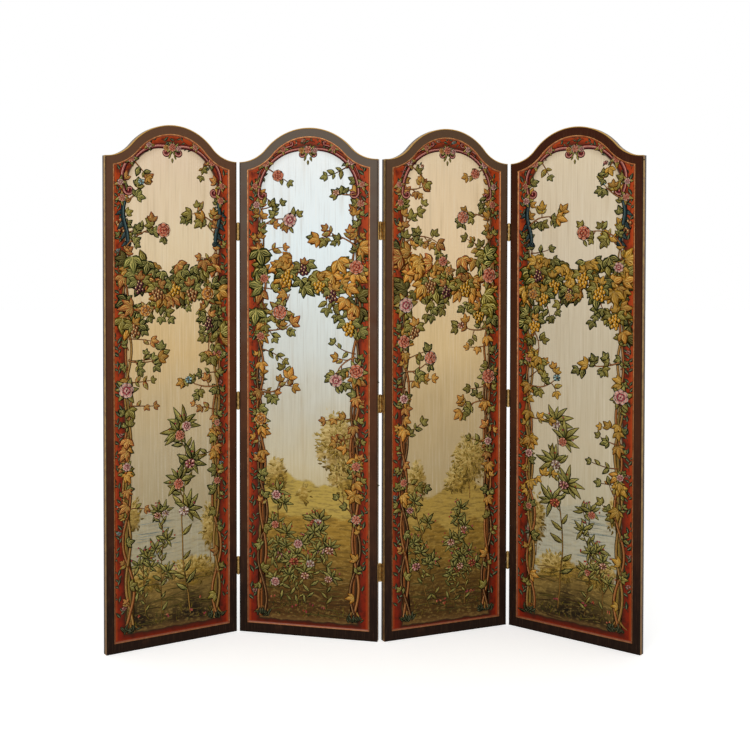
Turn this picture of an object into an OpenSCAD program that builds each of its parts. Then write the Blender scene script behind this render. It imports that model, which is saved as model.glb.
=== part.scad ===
// Folding screen of four painted panels with camelback tops, joined by brass butt hinges.
// The frame's origin is on the floor under the middle of the standing screen. +X runs along
// the panels, +Y goes from the painted fronts to the backs and +Z is up. Millimetres.

/* [Panels] */
// Width of one panel
panel_w = 508; // [440:1:600]
// Height of a panel's side edge, up to the shoulder of its arch
side_h = 1712; // [1500:1:2200]
// Thickness of a panel
panel_t = 25; // [23:0.5:32]
// Turn of the first panel out of the line of the screen, in degrees
yaw_1 = 31; // [10:0.5:60]
// Turn of the second panel
yaw_2 = 14; // [10:0.5:60]
// Turn of the third panel
yaw_3 = 22.5; // [10:0.5:60]
// Turn of the fourth panel
yaw_4 = 41; // [10:0.5:60]

/* [Arch] */
// Rise of the crown above the side edge
arch_rise = 117; // [80:1:150]
// Radius of the hollow shoulder on each side of the crown
shoulder_r = 130; // [100:1:180]

/* [Frame members] */
// Width of a stile's front face
stile_face = 29; // [24:0.5:40]
// Width of the arched rail's front face
arch_face = 31; // [24:0.5:40]
// Height of the bottom rail's front face
base_face = 34; // [24:0.5:60]
// Width of the ledge that carries the painted board
seat_w = 16; // [12:0.5:24]
// Width of the frame's rear face around the back board
back_face = 20; // [14:0.5:24]

/* [Boards] */
// Thickness of the painted board
board_t = 5; // [3:0.5:6]
// Depth of the painted board's face below the frame's face
board_drop = 4.5; // [3:0.5:6]
// Thickness of the back board
back_t = 4; // [3:0.5:6]
// Clearance around the edges of both boards
board_gap = 0.5; // [0.2:0.1:1]

/* [Gilt slip] */
// Width of the gilt slip
slip_w = 6; // [4:0.5:10]
// Depth of the slip's outer arris below the frame's face
slip_drop = 0.5; // [0:0.1:1]
// Width of the flat along the slip's outer arris
slip_flat = 1.5; // [0.5:0.1:3]
// Thickness of the slip where it meets the painting
slip_edge = 1.2; // [0.6:0.1:2]
// Clearance between the slip and the frame
slip_gap = 0.1; // [0.05:0.05:0.3]

/* [Joinery] */
// Thickness of the tenons
tenon_t = 7; // [4:0.5:8]
// Distance from a stile's outer edge to its top tenon
top_tenon_in = 10; // [6:0.5:14]
// Width of a stile's top tenon
top_tenon_w = 25; // [16:0.5:28]
// Length of a stile's top tenon
top_tenon_l = 24; // [12:0.5:30]
// Length of the rails' tenons
rail_tenon_l = 20; // [10:0.5:28]
// Shoulder above and below each rail's tenon
rail_shoulder = 6; // [3:0.5:10]
// Clearance around a tenon's cheeks
tenon_gap = 0.1; // [0.05:0.05:0.3]
// Clearance past a tenon's end
tenon_end = 1; // [0.5:0.1:2]

/* [Cross rails] */
// Height of a cross rail
cross_h = 40; // [25:1:70]
// Height of the lower cross rail's middle above the floor
cross_low = 560; // [350:1:740]
// Height of the upper cross rail's middle above the floor
cross_high = 1130; // [940:1:1250]

/* [Hinges] */
// Gap between two panels, which is also the diameter of the knuckles
hinge_gap = 9; // [7.5:0.5:12]
// Distance of the hinge's axis from the panel's face
hinge_proud = 3; // [1:0.5:6]
// Height of a hinge
leaf_h = 64; // [50:1:90]
// Width of a leaf, from the axis to its free edge
leaf_w = 22; // [18:0.5:24]
// Thickness of a leaf
leaf_t = 1.9; // [1.2:0.1:2]
// Diameter of the hinge pin
pin_d = 4.4; // [3:0.1:4.6]
// Running clearance around the pin
pin_gap = 0.05; // [0.02:0.01:0.1]
// Gap between two knuckles
knuckle_gap = 0.3; // [0.2:0.1:0.6]
// Clearance between a leaf and the other leaf's knuckle
leaf_clear = 0.5; // [0.3:0.1:1]
// Height of the button at each end of the pin
button_h = 1.6; // [1:0.1:3]
// Width of the ledge round that button
button_in = 0.8; // [0.4:0.1:1.5]
// Width of the button's bevel
button_bevel = 1; // [0.4:0.1:1.5]
// Height of the bottom hinge's middle above the floor
hinge_low = 242; // [120:1:320]
// Height of the middle hinge's middle above the floor
hinge_mid = 845; // [800:1:880]
// Distance of the top hinge's middle below the top of the side edge
hinge_drop = 252; // [120:1:260]

/* [Hinge screws] */
// Length of a screw
screw_l = 18; // [10:0.5:24]
// Diameter of a screw's shank
screw_d = 3; // [2:0.1:3.5]
// Diameter of a screw's countersunk head
head_d = 6; // [4:0.1:6.4]
// Diameter of a screw's blunt tip
tip_d = 0.4; // [0.2:0.1:1]
// Clearance around a screw
screw_gap = 0.05; // [0.02:0.01:0.1]
// Distance from the hinge's axis to the middle of the screws
screw_row = 13; // [11:0.5:14]
// Offset of the screws from that middle, one way and the other
screw_stagger = 3; // [0:0.5:3.5]
// Distance from the end of a leaf to its first screw
screw_end = 8; // [6:0.5:14]

/* [Hidden] */
$fn = 96;
free_edge = 0;
pin_at_front = 1;
pin_at_back = 2;
left_edges = [free_edge, pin_at_front, pin_at_back, pin_at_front];
right_edges = [pin_at_front, pin_at_back, pin_at_front, free_edge];
past = 1;

// Depths through a panel, from its front face
seat_y = board_drop + board_t;
back_y = panel_t - back_t;
core_t = back_y - seat_y;
tenon_y = seat_y + (core_t - tenon_t) / 2;

// Widths and heights of the frame
stile_in = stile_face + seat_w;
stile_h = side_h - arch_face - seat_w;
base_h = base_face + seat_w;

// The crown's arc is tangent to both shoulder arcs, whose centres are over the side edges
shoulder_c = [0, side_h + shoulder_r];
shoulder_over = shoulder_r - arch_rise;
crown_r = (pow(panel_w / 2, 2) + pow(shoulder_over, 2) - pow(shoulder_r, 2))
    / (2 * arch_rise);
crown_c = [panel_w / 2, side_h + arch_rise - crown_r];
shoulder_turn = atan2(shoulder_c[1] - crown_c[1], crown_c[0]);
joint_turn = asin(slip_gap / (shoulder_r + arch_face + slip_gap));

// Hinges
barrel_r = hinge_gap / 2;
bore_r = pin_d / 2 + pin_gap;
knuckle_h = (leaf_h - 2 * knuckle_gap) / 3;
leaf_in = sqrt(pow(barrel_r + leaf_clear, 2) - pow(barrel_r - leaf_t, 2));
button_r = barrel_r - button_in;
button_tip_r = button_r - button_bevel;
head_h = (head_d - screw_d) / 2;
tip_l = 1.5 * screw_d;
hinge_zs = [hinge_low, hinge_mid, side_h - hinge_drop];
screw_places = [
    for (i = [-1, 0, 1])
        [screw_row + (i == 0 ? -screw_stagger : screw_stagger),
            i * (leaf_h / 2 - screw_end)]
];

// Places of the panels, worked out from pin to pin
function turned(a, v) = [cos(a) * v[0] - sin(a) * v[1], sin(a) * v[0] + cos(a) * v[1]];
function pin_y(edge) = edge == pin_at_front ? -hinge_proud : panel_t + hinge_proud;
function right_pin(edge) = [panel_w + hinge_gap / 2, pin_y(edge)];
function left_pin(edge) = [-hinge_gap / 2, pin_y(edge)];
turns = [yaw_1, -yaw_2, yaw_3, -yaw_4];
pin_12 = turned(turns[0], right_pin(pin_at_front));
start_2 = pin_12 - turned(turns[1], left_pin(pin_at_front));
pin_23 = start_2 + turned(turns[1], right_pin(pin_at_back));
start_3 = pin_23 - turned(turns[2], left_pin(pin_at_back));
pin_34 = start_3 + turned(turns[2], right_pin(pin_at_front));
start_4 = pin_34 - turned(turns[3], left_pin(pin_at_front));
starts = [[0, 0], start_2, start_3, start_4];
corners = [
    for (p = [0:3]) for (x = [0, panel_w]) for (y = [0, panel_t])
        starts[p] + turned(turns[p], [x, y])
];
xs = [for (c = corners) c[0]];
ys = [for (c = corners) c[1]];
middle = [(min(xs) + max(xs)) / 2, (min(ys) + max(ys)) / 2];

joint_names = ["12", "23", "34"];
level_names = ["bottom", "middle", "top"];
panel_parts = [
    "left_stile", "right_stile", "top_rail", "bottom_rail", "cross_rails",
    "painted_board", "back_board", "gilt_slip", "hinge_screws"
];
function panel_node(p, part) = str("panel_", p, "_", part);
function leaf_node(j, level, side) = str("hinge_", j, "_", level, "_", side, "_leaf");
function pins_node(j) = str("hinge_", j, "_pins");

// Puts a panel, drawn from its front lower left corner, in its place in the screen
module in_panel(p) {
    translate([starts[p - 1][0] - middle[0], starts[p - 1][1] - middle[1], 0])
        rotate([0, 0, turns[p - 1]])
            children();
}

// Puts what is drawn at the left edge of a panel at its right edge
module at_right() {
    translate([panel_w, 0, 0]) mirror([1, 0, 0]) children();
}

// Puts what is drawn in a hinge's own frame on a panel's edge at height z. In that frame the
// axis is at the origin, the panel's edge lies at x = -barrel_r and its thickness along +y.
module on_edge(right, edge, z) {
    pin = right ? right_pin(edge) : left_pin(edge);
    translate([pin[0], pin[1], z])
        mirror([right ? 0 : 1, 0, 0])
            mirror([0, edge == pin_at_back ? 1 : 0, 0])
                children();
}

// Flat region of a panel under the arch, drawn in from its edges. The crown's circle touches
// both shoulder circles, so a whole disc of it never reaches past the outline.
module arch_region(inset, side_in, base_z) {
    intersection() {
        translate([side_in, base_z])
            square([panel_w - 2 * side_in, side_h + arch_rise - base_z]);
        union() {
            difference() {
                polygon([
                    [0, 0], shoulder_c, crown_c, [panel_w, shoulder_c[1]], [panel_w, 0]
                ]);
                translate(shoulder_c) circle(r = shoulder_r + inset);
                translate([panel_w, shoulder_c[1]]) circle(r = shoulder_r + inset);
            }
            translate(crown_c) circle(r = crown_r - inset);
        }
    }
}

// That region as a plate, from depth y on
module arch_plate(inset, side_in, base_z, y, depth) {
    translate([0, y + depth, 0])
        rotate([90, 0, 0])
            linear_extrude(depth)
                arch_region(inset, side_in, base_z);
}

// Space of the three screws of one leaf, larger by gap
module screw_set(gap) {
    for (s = screw_places)
        translate([leaf_t - barrel_r, s[0], s[1]])
            rotate([0, -90, 0]) {
                translate([0, 0, -gap])
                    cylinder(h = head_h + 2 * gap, r1 = head_d / 2 + gap, r2 = screw_d / 2 + gap);
                cylinder(h = screw_l - tip_l + gap, r = screw_d / 2 + gap);
                translate([0, 0, screw_l - tip_l])
                    cylinder(h = tip_l + gap, r1 = screw_d / 2 + gap, r2 = tip_d / 2 + gap);
            }
}

// Stile with its rebates for both boards, its top tenon, mortises and pilot holes
module stile(edge) {
    difference() {
        union() {
            linear_extrude(stile_h)
                polygon([
                    [0, 0], [stile_face, 0], [stile_face, seat_y], [stile_in, seat_y],
                    [stile_in, back_y], [back_face, back_y], [back_face, panel_t], [0, panel_t]
                ]);
            translate([top_tenon_in, tenon_y, stile_h - past])
                cube([top_tenon_w, tenon_t, top_tenon_l + past]);
        }
        rail_mortise(0, base_h);
        rail_mortise(cross_low - cross_h / 2, cross_h);
        rail_mortise(cross_high - cross_h / 2, cross_h);
        if (edge != free_edge)
            for (z = hinge_zs) on_edge(false, edge, z) screw_set(screw_gap);
    }
}

// Mortise for the tenon of a rail that starts at z and is h high
module rail_mortise(z, h) {
    translate([
        stile_in - rail_tenon_l - tenon_end, tenon_y - tenon_gap, z + rail_shoulder - tenon_gap
    ])
        cube([
            rail_tenon_l + tenon_end + past, tenon_t + 2 * tenon_gap,
            h - 2 * rail_shoulder + 2 * tenon_gap
        ]);
}

// Core of a rail between the stiles, with a tenon at each end
module rail_core(z, h) {
    translate([stile_in, seat_y, z]) cube([panel_w - 2 * stile_in, core_t, h]);
    translate([stile_in - rail_tenon_l, tenon_y, z + rail_shoulder])
        cube([panel_w - 2 * stile_in + 2 * rail_tenon_l, tenon_t, h - 2 * rail_shoulder]);
}

module left_stile(p) {
    color("#43332a") stile(left_edges[p - 1]);
}

module right_stile(p) {
    color("#43332a") at_right() stile(right_edges[p - 1]);
}

// Arched rail that caps both stiles
module top_rail() {
    color("#5c4a3e")
        difference() {
            arch_plate(0, 0, stile_h, 0, panel_t);
            arch_plate(arch_face, stile_face, stile_h - past, -past, seat_y + past);
            arch_plate(arch_face + seat_w, stile_in, stile_h - past, -past, panel_t + 2 * past);
            arch_plate(back_face, back_face, stile_h - past, back_y, back_t + past);
            top_mortise();
            at_right() top_mortise();
        }
}

// Mortise in the arched rail for a stile's top tenon
module top_mortise() {
    translate([top_tenon_in - tenon_gap, tenon_y - tenon_gap, stile_h - past])
        cube([
            top_tenon_w + 2 * tenon_gap, tenon_t + 2 * tenon_gap,
            top_tenon_l + tenon_end + past
        ]);
}

// Bottom rail, lapped over the stiles' rebates in front and behind
module bottom_rail() {
    color("#33241c") {
        rail_core(0, base_h);
        translate([stile_face, 0, 0]) cube([panel_w - 2 * stile_face, seat_y, base_face]);
        translate([back_face, back_y, 0]) cube([panel_w - 2 * back_face, back_t, back_face]);
    }
}

// Two rails inside the panel that keep the boards apart and the stiles straight
module cross_rails() {
    color("#b08a5c")
        for (z = [cross_low, cross_high]) rail_core(z - cross_h / 2, cross_h);
}

// Board that carries the painting
module painted_board() {
    color("#d9c6a4")
        arch_plate(
            arch_face + board_gap, stile_face + board_gap, base_face + board_gap,
            board_drop, board_t
        );
}

// Plain board that closes the back
module back_board() {
    color("#2e211b")
        arch_plate(
            back_face + board_gap, back_face + board_gap, back_face + board_gap,
            back_y, back_t
        );
}

// Section of the gilt slip: x from the frame inwards, y from the front back
module slip_section() {
    polygon([
        [0, slip_drop], [slip_flat, slip_drop], [slip_w, board_drop - slip_edge],
        [slip_w, board_drop], [0, board_drop]
    ]);
}

// Upright run of the slip, which ends inside the runs above and below it
module slip_upright() {
    intersection() {
        translate([stile_face + slip_gap, 0, 0])
            linear_extrude(side_h) slip_section();
        arch_plate(
            arch_face + slip_gap + slip_flat / 2, 0, base_face + slip_gap + slip_flat / 2,
            0, board_drop
        );
    }
}

// Run of the slip along the bottom rail
module slip_base() {
    translate([stile_face + slip_gap, 0, base_face + slip_gap])
        rotate([90, 0, 90])
            linear_extrude(panel_w - 2 * (stile_face + slip_gap))
                mirror([1, -1])
                    slip_section();
}

// Run of the slip over the left shoulder, which stops at a butt joint short of the crown's run
module slip_shoulder() {
    translate([shoulder_c[0], 0, shoulder_c[1]])
        rotate([90, 0, 0])
            rotate([0, 0, -90])
                rotate_extrude(angle = 90 - shoulder_turn - joint_turn)
                    translate([shoulder_r + arch_face + slip_gap, 0])
                        mirror([0, 1])
                            slip_section();
}

// Run of the slip round the crown
module slip_crown() {
    translate([crown_c[0], 0, crown_c[1]])
        rotate([90, 0, 0])
            rotate([0, 0, shoulder_turn])
                rotate_extrude(angle = 180 - 2 * shoulder_turn)
                    translate([crown_r - arch_face - slip_gap, 0])
                        rotate(180) slip_section();
}

// Gilt slip round the inside of the frame, mitred where it turns and butted at the crown
module gilt_slip() {
    color("#c08a52") {
        slip_upright();
        at_right() slip_upright();
        slip_base();
        intersection() {
            union() {
                slip_shoulder();
                at_right() slip_shoulder();
                slip_crown();
            }
            translate([stile_face + slip_gap, 0, 0])
                cube([panel_w - 2 * (stile_face + slip_gap), panel_t, 2 * side_h]);
        }
    }
}

module hinge_screws(p) {
    color("#c9a44c") {
        if (left_edges[p - 1] != free_edge)
            for (z = hinge_zs) on_edge(false, left_edges[p - 1], z) screw_set(0);
        if (right_edges[p - 1] != free_edge)
            for (z = hinge_zs) on_edge(true, right_edges[p - 1], z) screw_set(0);
    }
}

// Leaf of a butt hinge, with its knuckles numbered from below
module hinge_leaf(knuckles) {
    color("#caa653")
        difference() {
            union() {
                translate([-barrel_r, leaf_in, -leaf_h / 2])
                    cube([leaf_t, leaf_w - leaf_in, leaf_h]);
                for (k = knuckles)
                    translate([0, 0, k * (knuckle_h + knuckle_gap) - leaf_h / 2]) {
                        cylinder(h = knuckle_h, r = barrel_r);
                        translate([-barrel_r, 0, 0]) cube([leaf_t, leaf_in + past, knuckle_h]);
                    }
            }
            translate([0, 0, -leaf_h / 2 - past]) cylinder(h = leaf_h + 2 * past, r = bore_r);
            screw_set(screw_gap);
        }
}

module left_leaf(joint, z) {
    on_edge(true, right_edges[joint], z) hinge_leaf([0, 2]);
}

module right_leaf(joint, z) {
    on_edge(false, left_edges[joint + 1], z) hinge_leaf([1]);
}

// The pins of one joint, each with a button at both ends
module hinge_pins(joint) {
    color("#b8924a")
        for (z = hinge_zs)
            on_edge(true, right_edges[joint], z) {
                cylinder(h = leaf_h + button_h, r = pin_d / 2, center = true);
                pin_button();
                mirror([0, 0, 1]) pin_button();
            }
}

module pin_button() {
    translate([0, 0, leaf_h / 2 + pin_gap])
        cylinder(h = button_h, r1 = button_r, r2 = button_tip_r);
}

for (p = [1:4]) {
    in_panel(p) left_stile(p);
    in_panel(p) right_stile(p);
    in_panel(p) top_rail();
    in_panel(p) bottom_rail();
    in_panel(p) cross_rails();
    in_panel(p) painted_board();
    in_panel(p) back_board();
    in_panel(p) gilt_slip();
    in_panel(p) hinge_screws(p);
}
for (j = [0:2]) {
    for (h = [0:2]) {
        in_panel(j + 1) left_leaf(j, hinge_zs[h]);
        in_panel(j + 2) right_leaf(j, hinge_zs[h]);
    }
    in_panel(j + 1) hinge_pins(j);
}
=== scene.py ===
import math
import random

import bpy
import numpy as np
from mathutils import Matrix, Vector


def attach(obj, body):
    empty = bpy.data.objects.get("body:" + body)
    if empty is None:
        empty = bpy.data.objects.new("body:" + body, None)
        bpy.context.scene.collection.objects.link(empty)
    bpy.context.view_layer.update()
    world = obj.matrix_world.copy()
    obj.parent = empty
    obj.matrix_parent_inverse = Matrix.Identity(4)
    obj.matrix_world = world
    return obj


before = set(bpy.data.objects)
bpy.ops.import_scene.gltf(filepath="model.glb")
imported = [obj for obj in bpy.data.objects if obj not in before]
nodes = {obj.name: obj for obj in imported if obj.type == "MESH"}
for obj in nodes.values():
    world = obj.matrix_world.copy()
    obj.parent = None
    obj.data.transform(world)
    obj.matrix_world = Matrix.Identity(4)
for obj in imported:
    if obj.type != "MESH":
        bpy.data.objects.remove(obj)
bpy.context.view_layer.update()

# Sizes of the folding screen in millimetres, as its construction has them
screen = {
    "panelWide": 508.0,
    "panelThick": 25.0,
    "sideHigh": 1712.0,
    "archRise": 117.0,
    "shoulderRadius": 130.0,
    "boardFace": 4.5,       # depth of the painted face behind the frame's face
    "slipInside": 37.0,     # how far in from the outline the visible painting starts
    "hingeGap": 9.0,
    "hingeProud": 3.0,
    "turns": [31.0, -14.0, 22.5, -41.0],
    "pinSides": ["front", "back", "front"],
}


def turned(degrees, point):
    a = math.radians(degrees)
    return (math.cos(a) * point[0] - math.sin(a) * point[1],
            math.sin(a) * point[0] + math.cos(a) * point[1])


def panelStarts():
    # from pin to pin along the zigzag, then centred on the object's own box
    wide, thick = screen["panelWide"], screen["panelThick"]
    starts = [(0.0, 0.0)]
    for i, side in enumerate(screen["pinSides"]):
        y = -screen["hingeProud"] if side == "front" else thick + screen["hingeProud"]
        right = turned(screen["turns"][i], (wide + screen["hingeGap"] / 2, y))
        left = turned(screen["turns"][i + 1], (-screen["hingeGap"] / 2, y))
        starts.append((starts[i][0] + right[0] - left[0], starts[i][1] + right[1] - left[1]))
    corners = []
    for start, turn in zip(starts, screen["turns"]):
        for x in (0, wide):
            for y in (0, thick):
                p = turned(turn, (x, y))
                corners.append((start[0] + p[0], start[1] + p[1]))
    midX = (min(c[0] for c in corners) + max(c[0] for c in corners)) / 2
    midY = (min(c[1] for c in corners) + max(c[1] for c in corners)) / 2
    return [(s[0] - midX, s[1] - midY) for s in starts]


starts = panelStarts()
fullHigh = screen["sideHigh"] + screen["archRise"]
crownRadius = ((screen["panelWide"] / 2) ** 2
               + (screen["shoulderRadius"] - screen["archRise"]) ** 2
               - screen["shoulderRadius"] ** 2) / (2 * screen["archRise"])
crownX = screen["panelWide"] / 2
crownZ = fullHigh - crownRadius
shoulderZ = screen["sideHigh"] + screen["shoulderRadius"]
tangentTurn = math.atan2(shoulderZ - crownZ, crownX)


def insetAt(x, z):
    # distance in from the panel's outline, in mm, for numbers or arrays
    x = np.minimum(x, screen["panelWide"] - x)
    fromShoulder = np.hypot(x, z - shoulderZ) - screen["shoulderRadius"]
    fromCrown = crownRadius - np.hypot(x - crownX, z - crownZ)
    inCrown = (-crownX * (z - crownZ) - (shoulderZ - crownZ) * (x - crownX)) < 0
    return np.minimum(np.minimum(x, z), np.where(inCrown, fromCrown, fromShoulder))


def panelMatrix(panel):
    # from a panel's own millimetres to metres in the room
    x, y = starts[panel]
    return (Matrix.Translation((x / 1000, y / 1000, 0))
            @ Matrix.Rotation(math.radians(screen["turns"][panel]), 4, "Z")
            @ Matrix.Scale(0.001, 4))


# the camera that was fitted to the photograph's corners
cameraPlan = {
    "place": (-0.3111, -4.0083, 1.3323),
    "tiltDown": 1.173,
    "lens": 54.01,
    "shift": (0.1224, -0.1136),
}
bpy.ops.object.select_all(action="DESELECT")
bpy.ops.object.camera_add(location=cameraPlan["place"],
                          rotation=(math.radians(90 - cameraPlan["tiltDown"]), 0, 0))
camera = bpy.context.object
camera.name = "camera"
camera.data.sensor_width = 36
camera.data.lens = cameraPlan["lens"]
camera.data.shift_x, camera.data.shift_y = cameraPlan["shift"]
bpy.context.scene.camera = camera
bpy.context.scene.view_settings.view_transform = "Standard"


def linear(hexColour):
    # sRGB hex to the linear values that the nodes take
    values = [int(hexColour[i:i + 2], 16) / 255 for i in (1, 3, 5)]
    return tuple(v / 12.92 if v <= 0.04045 else ((v + 0.055) / 1.055) ** 2.4
                 for v in values) + (1.0,)


def addNode(tree, kind, inputs=None, **settings):
    # adds one node, sets its properties and fills or links its inputs; a node given for an
    # input is linked by its first output
    node = tree.nodes.new("ShaderNode" + kind)
    for name, value in settings.items():
        setattr(node, name, value)
    for slot, value in (inputs or {}).items():
        if isinstance(value, bpy.types.Node):
            value = value.outputs[0]
        if isinstance(value, bpy.types.NodeSocket):
            tree.links.new(value, node.inputs[slot])
        else:
            node.inputs[slot].default_value = value
    return node


def newFinish(name):
    # an empty material with its shader, ready for its pattern
    material = bpy.data.materials.new(name)
    material.use_nodes = True
    return material, material.node_tree, material.node_tree.nodes["Principled BSDF"]


def joinFinish(tree, shader, colour, rough, relief):
    # gives a shader its colour, a roughness as (pattern, how far it swings, lowest) and a
    # relief as (pattern, strength, its height in metres)
    pattern, swing, lowest = rough
    roughness = addNode(tree, "Math", {
        0: pattern, 1: swing, 2: lowest}, operation="MULTIPLY_ADD")
    pattern, strength, high = relief
    bump = addNode(tree, "Bump", {"Strength": strength, "Distance": high, "Height": pattern})
    tree.links.new(colour, shader.inputs["Base Color"])
    tree.links.new(roughness.outputs[0], shader.inputs["Roughness"])
    tree.links.new(bump.outputs[0], shader.inputs["Normal"])


def setStops(ramp, stops):
    # colour stops of a ramp, as (place, hex) pairs
    elements = ramp.color_ramp.elements
    while len(elements) > 1:
        elements.remove(elements[-1])
    elements[0].position, elements[0].color = stops[0][0], linear(stops[0][1])
    for place, colour in stops[1:]:
        element = elements.new(place)
        element.color = linear(colour)
    return ramp.outputs["Color"]


studio = {
    "worldLight": 0.62,
    "keyPower": 95.0,
    "keyPlace": (-1.6, -4.6, 3.4),
    "keySize": 3.2,
    "floorColour": "#f6f6f4",
    "floorGlow": 0.46,        # what the floor adds to the eye, so that it reads as white
}
world = bpy.data.worlds.new("whiteStudio")
bpy.context.scene.world = world
world.use_nodes = True
sky = world.node_tree
sky.nodes.clear()
rays = addNode(sky, "LightPath")
seen = addNode(sky, "Math", {
    0: rays.outputs["Is Camera Ray"], 1: rays.outputs["Is Glossy Ray"]}, operation="MAXIMUM")
seen = addNode(sky, "Math", {
    0: seen, 1: rays.outputs["Is Transmission Ray"]}, operation="MAXIMUM")
light = addNode(sky, "Background", {"Color": (1, 1, 1, 1), "Strength": studio["worldLight"]})
white = addNode(sky, "Background", {"Color": (1, 1, 1, 1), "Strength": 1.0})
both = addNode(sky, "MixShader", {0: seen, 1: light, 2: white})
addNode(sky, "OutputWorld", {"Surface": both})

bpy.ops.object.light_add(type="AREA", location=studio["keyPlace"])
key = bpy.context.object
key.data.energy = studio["keyPower"]
key.data.size = studio["keySize"]
key.rotation_euler = (Vector((0, 0, 0.9)) - Vector(studio["keyPlace"])).to_track_quat(
    "-Z", "Y").to_euler()

bpy.ops.mesh.primitive_plane_add(size=60, location=(0, 0, 0))
floor = bpy.context.object
floor.name = "floor"
floorPaint, tree, shader = newFinish("matteWhiteFloor")
# matte emulsion: even, without gloss, and as bright to the eye as the backdrop behind it
shader.inputs["Base Color"].default_value = linear(studio["floorColour"])
shader.inputs["Roughness"].default_value = 0.9
rays = addNode(tree, "LightPath")
toEye = addNode(tree, "Math", {
    0: rays.outputs["Is Camera Ray"], 1: studio["floorGlow"]}, operation="MULTIPLY")
glow = addNode(tree, "Emission", {"Color": (1, 1, 1, 1), "Strength": toEye})
lifted = addNode(tree, "AddShader", {0: shader, 1: glow})
tree.links.new(lifted.outputs[0], tree.nodes["Material Output"].inputs["Surface"])
floor.data.materials.append(floorPaint)
print("camera, light and floor made")


def panelCoords(tree, panel):
    # a panel's own millimetres: x across its face, y into its depth, z up
    place = addNode(tree, "TexCoord")
    x, y = starts[panel]
    return addNode(tree, "Mapping", {
        "Vector": place.outputs["Object"], "Location": (x / 1000, y / 1000, 0), "Rotation": (0,
        0, math.radians(screen["turns"][panel])), "Scale": (0.001, 0.001, 0.001), },
        vector_type="TEXTURE")


def panelFinish(name, panel):
    # an empty material in a panel's own millimetres, and those split into x, y and z
    material, tree, shader = newFinish("%s_%d" % (name, panel + 1))
    local = panelCoords(tree, panel)
    split = addNode(tree, "SeparateXYZ", {0: local})
    return material, tree, shader, local, split


def outlineDistance(tree, split):
    # mm in from the panel's outline, as insetAt works it out
    fromRight = addNode(tree, "Math", {
        0: screen["panelWide"], 1: split.outputs[0]}, operation="SUBTRACT")
    x = addNode(tree, "Math", {0: split.outputs[0], 1: fromRight}, operation="MINIMUM")
    flat = addNode(tree, "CombineXYZ", {0: x, 1: split.outputs[2]})
    toShoulder = addNode(tree, "VectorMath", {
        0: flat, 1: (0, shoulderZ, 0)}, operation="DISTANCE").outputs["Value"]
    toShoulder = addNode(tree, "Math", {
        0: toShoulder, 1: screen["shoulderRadius"]}, operation="SUBTRACT")
    toCrown = addNode(tree, "VectorMath", {
        0: flat, 1: (crownX, crownZ, 0)}, operation="DISTANCE").outputs["Value"]
    toCrown = addNode(tree, "Math", {0: crownRadius, 1: toCrown}, operation="SUBTRACT")
    # the crown's arc starts where the line through both centres is passed
    side = addNode(tree, "VectorMath", {
        0: flat, 1: (shoulderZ - crownZ, crownX, 0)}, operation="DOT_PRODUCT").outputs["Value"]
    inCrown = addNode(tree, "Math", {
        0: side, 1: crownX * (shoulderZ - crownZ) + crownZ * crownX}, operation="GREATER_THAN")
    arch = addNode(tree, "Mix", {0: inCrown, 2: toShoulder, 3: toCrown}, data_type="FLOAT")
    sides = addNode(tree, "Math", {0: x, 1: arch}, operation="MINIMUM")
    return addNode(tree, "Math", {0: sides, 1: split.outputs[2]}, operation="MINIMUM")


def streaks(tree, place, long, detail, roughness=0.5):
    # brush marks: noise drawn out along x, y and z, so many mm each way
    drawn = addNode(tree, "Mapping", {"Vector": place, "Scale": [1 / reach for reach in long]})
    return addNode(tree, "TexNoise", {
        "Vector": drawn, "Scale": 1, "Detail": detail, "Roughness": roughness})


def layCoats(tree, colour, coats):
    # lays coats of paint over a colour, each as (how much it covers, its colour, how it
    # mixes); a cover as (value, start, end, most) fades in between the two values
    for cover, coat, *way in coats:
        if isinstance(cover, tuple):
            value, start, end, most = cover
            cover = addNode(tree, "MapRange", {
                "Value": value, "From Min": start, "From Max": end, "To Max": most},
                interpolation_type="SMOOTHSTEP")
        coat = linear(coat) if isinstance(coat, str) else coat
        colour = addNode(tree, "Mix", {0: cover, 6: colour, 7: coat},
                         data_type="RGBA", blend_type=way[0] if way else "MIX").outputs[2]
    return colour


framePaint = {
    # colours at the top, per panel: their greyness is a painted sheen, stronger on some panels
    # than others
    "topColours": ["#5e402c", "#62564b", "#58412e", "#391502"],
    "middleColours": ["#4e2814", "#52301c", "#4a2a16", "#462512"],
    "lowColour": "#1f1008",
    "rubbedColour": "#7a5a40",
    # painted shade in a band along the outline of the face
    "arrisColour": "#1c130b",
    "giltColour": "#c79a4c",
    "giltWide": 2.6,          # mm of the face that the gilding laps over along the arch
    "roughness": 0.5,
    "gloss": 0.1,
}


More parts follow.
